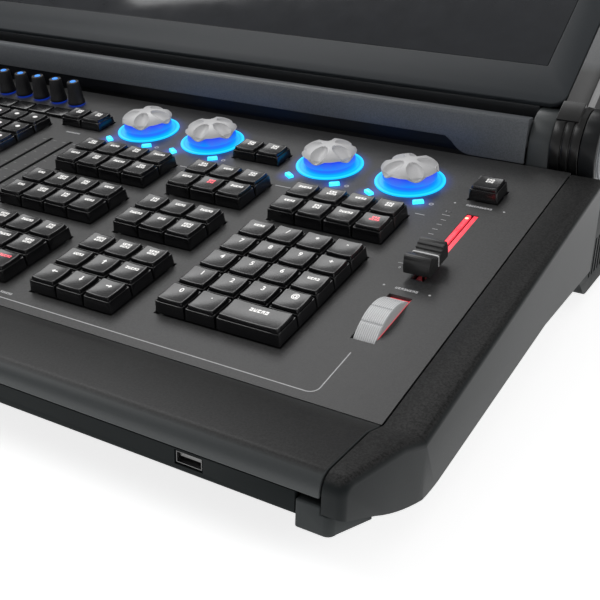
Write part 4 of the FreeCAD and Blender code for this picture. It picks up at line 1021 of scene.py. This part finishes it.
def make_slot_light(m):
    """The two lit strips in the grand master's slot, their bright spot, and the light round the wheel."""
    strips = bmesh.new()
    for shift in (-2.1, 2.1):
        bar(strips, SLOT_U + shift, (SLOT_LOW + SLOT_HIGH) / 2, 2.6, SLOT_HIGH - SLOT_LOW, -1.6, -0.25, 0.4)
    make("slot_light", strips, m["slot_red"], "desk", 30)
    glow = bmesh.new()
    bar(glow, 313.8, 65.1, 11.6, 2.2, -4.5, -2.0, 0.3)
    bar(glow, 320.28, 46, 0.2, 38, -3.0, -0.1, 0.05)
    make("wheel_glow", glow, m["wheel_red"], "desk", 30)
    bright = bmesh.new()
    lathe(bright, [(1.1, -1.2), (1.1, -0.15), (0.05, -0.05)], (SLOT_U - 2.1, 158.5), segments=24)
    make("slot_beacon", bright, m["beacon"], "desk", 30)


# ---- everything else -------------------------------------------------------------

DRESSING = {
    "cheek_right": ("cheek", 1.2, 3), "cheek_left": ("cheek", 1.2, 3), "armrest": ("rest", 0.8, 3),
    "front_fascia": ("side", 0.5, 2), "corner_blocks": ("block", 1.4, 3), "control_panel": ("panel", 0, 0),
    "base_pan": ("tray", 0.4, 2), "rear_deck": ("tray", 0.4, 2), "rear_panel": ("tray", 0, 0),
    "rear_rail": ("rail", 0.4, 2), "rear_side_right": ("side", 1.6, 3), "rear_side_left": ("side", 1.6, 3),
    "rubber_feet": ("rubber", 0.8, 3), "bottom_screws": ("steel", 0.2, 2),
    "xlr_outputs": ("socket", 0.2, 2), "data_ports": ("socket", 0.15, 2),
    "usb_port_front": ("usb", 0.12, 2), "power_inlet": ("inlet", 0.4, 2),
    "hinge_brackets": ("bracket", 0.9, 3), "hinge_covers": ("cover", 0.8, 3),
    "screen_arms": ("arm", 0.8, 3), "screen_bezel": ("bezel", 0.9, 3), "screen_back": ("back", 0.4, 2),
    "screen_glass": ("glass", 0.3, 2), "display_panels": ("display", 0, 0),
    "control_board": ("board", 0, 0), "power_supply": ("steel", 0, 0), "wheel_carrier": ("steel", 0, 0),
    "fader_frames": ("steel", 0, 0), "key_mats": ("mat", 0, 0), "encoder_light_rings": ("ring", 0.3, 2),
    "encoder_buttons": ("led", 0.7, 3),
}


def dress_frame(m):
    """Materials for the CAD nodes that show as they are; each row is material, edge in mm, steps."""
    for node, (material, bevel, segments) in DRESSING.items():
        dress(node, m[material], bevel, segments)


def rest_material():
    """Black grain on top; the rolled front edge is painted lighter satin by which way it faces, a painted
    highlight.
    """
    s = Shader("rest_moulding_painted_highlight")
    normal = s.add("ShaderNodeNewGeometry").outputs["Normal"]
    # Painted highlight: faces that tip forward get a lighter colour for the light the rolled front edge
    # catches.
    top = s.span(s.axis("Z", normal), 0.84, 0.95, 0, 1)
    fine = s.noise(850, 3, 0.7)
    grain = s.mix(s.span(fine, 0.38, 0.62, 0, 1), (0.008, 0.008, 0.008), (0.022, 0.022, 0.022))
    painted_highlight_roll = s.mix(fine, (0.04, 0.045, 0.046), (0.052, 0.057, 0.059))
    s.paint(s.mix(top, painted_highlight_roll, grain))
    s.set(rough=0.48, specular=0.35)
    s.bump(fine, 0.4, 0.00012)
    return s.material


def cheek_material():
    """Textured on top, smoother satin on the outer side and front; the base brightness of top and sides is
    set by which way they face, which is painted light.
    """
    s = Shader("cheek_moulding_painted_light")
    normal = s.add("ShaderNodeNewGeometry").outputs["Normal"]
    # Painted light: upward faces and side faces get different brightness for how light falls on them.
    top = s.span(s.axis("Z", normal), 0.55, 0.85, 0, 1)
    fine = s.noise(850, 3, 0.7)
    broad = s.noise(12, 2)
    s.set(specular=0.1)
    upper = s.mix(s.span(fine, 0.38, 0.62, 0, 1), (0.014, 0.014, 0.014), (0.036, 0.036, 0.036))
    lower = s.mix(s.span(broad, 0.3, 0.7, 0, 1), (0.010, 0.0125, 0.013), (0.014, 0.0165, 0.0175))
    s.paint(s.mix(top, lower, upper))
    s.gloss(s.span(top, 0, 1, 0.4, 0.48))
    s.bump(fine, 0.35, 0.0001)
    return s.material


# ---- stage -----------------------------------------------------------------------

FLOOR_HALF = 12


def floor():
    bm = bmesh.new()
    bmesh.ops.create_grid(bm, x_segments=1, y_segments=1, size=FLOOR_HALF)
    mesh = bpy.data.meshes.new("floor")
    bm.to_mesh(mesh)
    bm.free()
    obj = bpy.data.objects.new("floor", mesh)
    bpy.context.scene.collection.objects.link(obj)
    s = Shader("floor_paper")
    s.set(color=(0.92, 0.92, 0.92), rough=0.9, specular=0.1, glow=(1, 1, 1), strength=0.75)
    mesh.materials.append(s.material)


def area_light(name, place, target, size, power):
    data = bpy.data.lights.new(name, "AREA")
    data.shape = "RECTANGLE"
    data.size, data.size_y = size
    data.energy = power
    obj = bpy.data.objects.new(name, data)
    obj.location = place
    obj.rotation_euler = (Vector(target) - Vector(place)).to_track_quat("-Z", "Y").to_euler()
    bpy.context.scene.collection.objects.link(obj)


def lights():
    world = bpy.data.worlds.new("studio")
    bpy.context.scene.world = world
    world.use_nodes = True
    background = world.node_tree.nodes["Background"]
    background.inputs["Color"].default_value = (1, 1, 1, 1)
    background.inputs["Strength"].default_value = 0.3
    area_light("softbox_back", (-1.1, 0.95, 2.1), (0, -0.05, 0.08), (1.9, 1.1), 24)
    area_light("softbox_right", (1.9, 0.3, 0.9), (0.2, 0, 0.05), (1.2, 0.8), 5)
    area_light("softbox_top", (-0.95, -0.95, 1.8), (0.1, -0.15, 0), (1.2, 0.8), 12)


CAMERA_PLACE = Vector((0.4961, -0.5615, 0.2708))
CAMERA_RIGHT = Vector((0.86365, 0.50351, 0.02405))
CAMERA_UP = Vector((-0.22486, 0.34211, 0.91236))
CAMERA_LENS = 58.56


def camera():
    data = bpy.data.cameras.new("camera")
    data.sensor_width = 36
    data.lens = CAMERA_LENS
    data.clip_start, data.clip_end = 0.02, 60
    obj = bpy.data.objects.new("camera", data)
    back = CAMERA_RIGHT.cross(CAMERA_UP).normalized()
    rotation = Matrix((CAMERA_RIGHT, CAMERA_UP, back)).transposed()
    obj.matrix_world = Matrix.Translation(CAMERA_PLACE) @ rotation.to_4x4()
    bpy.context.scene.collection.objects.link(obj)
    bpy.context.scene.camera = obj


camera()
floor()
lights()
bpy.context.scene.view_settings.view_transform = "Standard"
MATERIALS = material_set()
dress_frame(MATERIALS)
make_keys(MATERIALS)
make_encoders(MATERIALS)
make_playback_knobs(MATERIALS)
make_faders(MATERIALS)
dress("intensity_wheel", MATERIALS["wheel"], 0.25, 2)
make_slot_light(MATERIALS)
make_print(MATERIALS)
make_marks(MATERIALS)
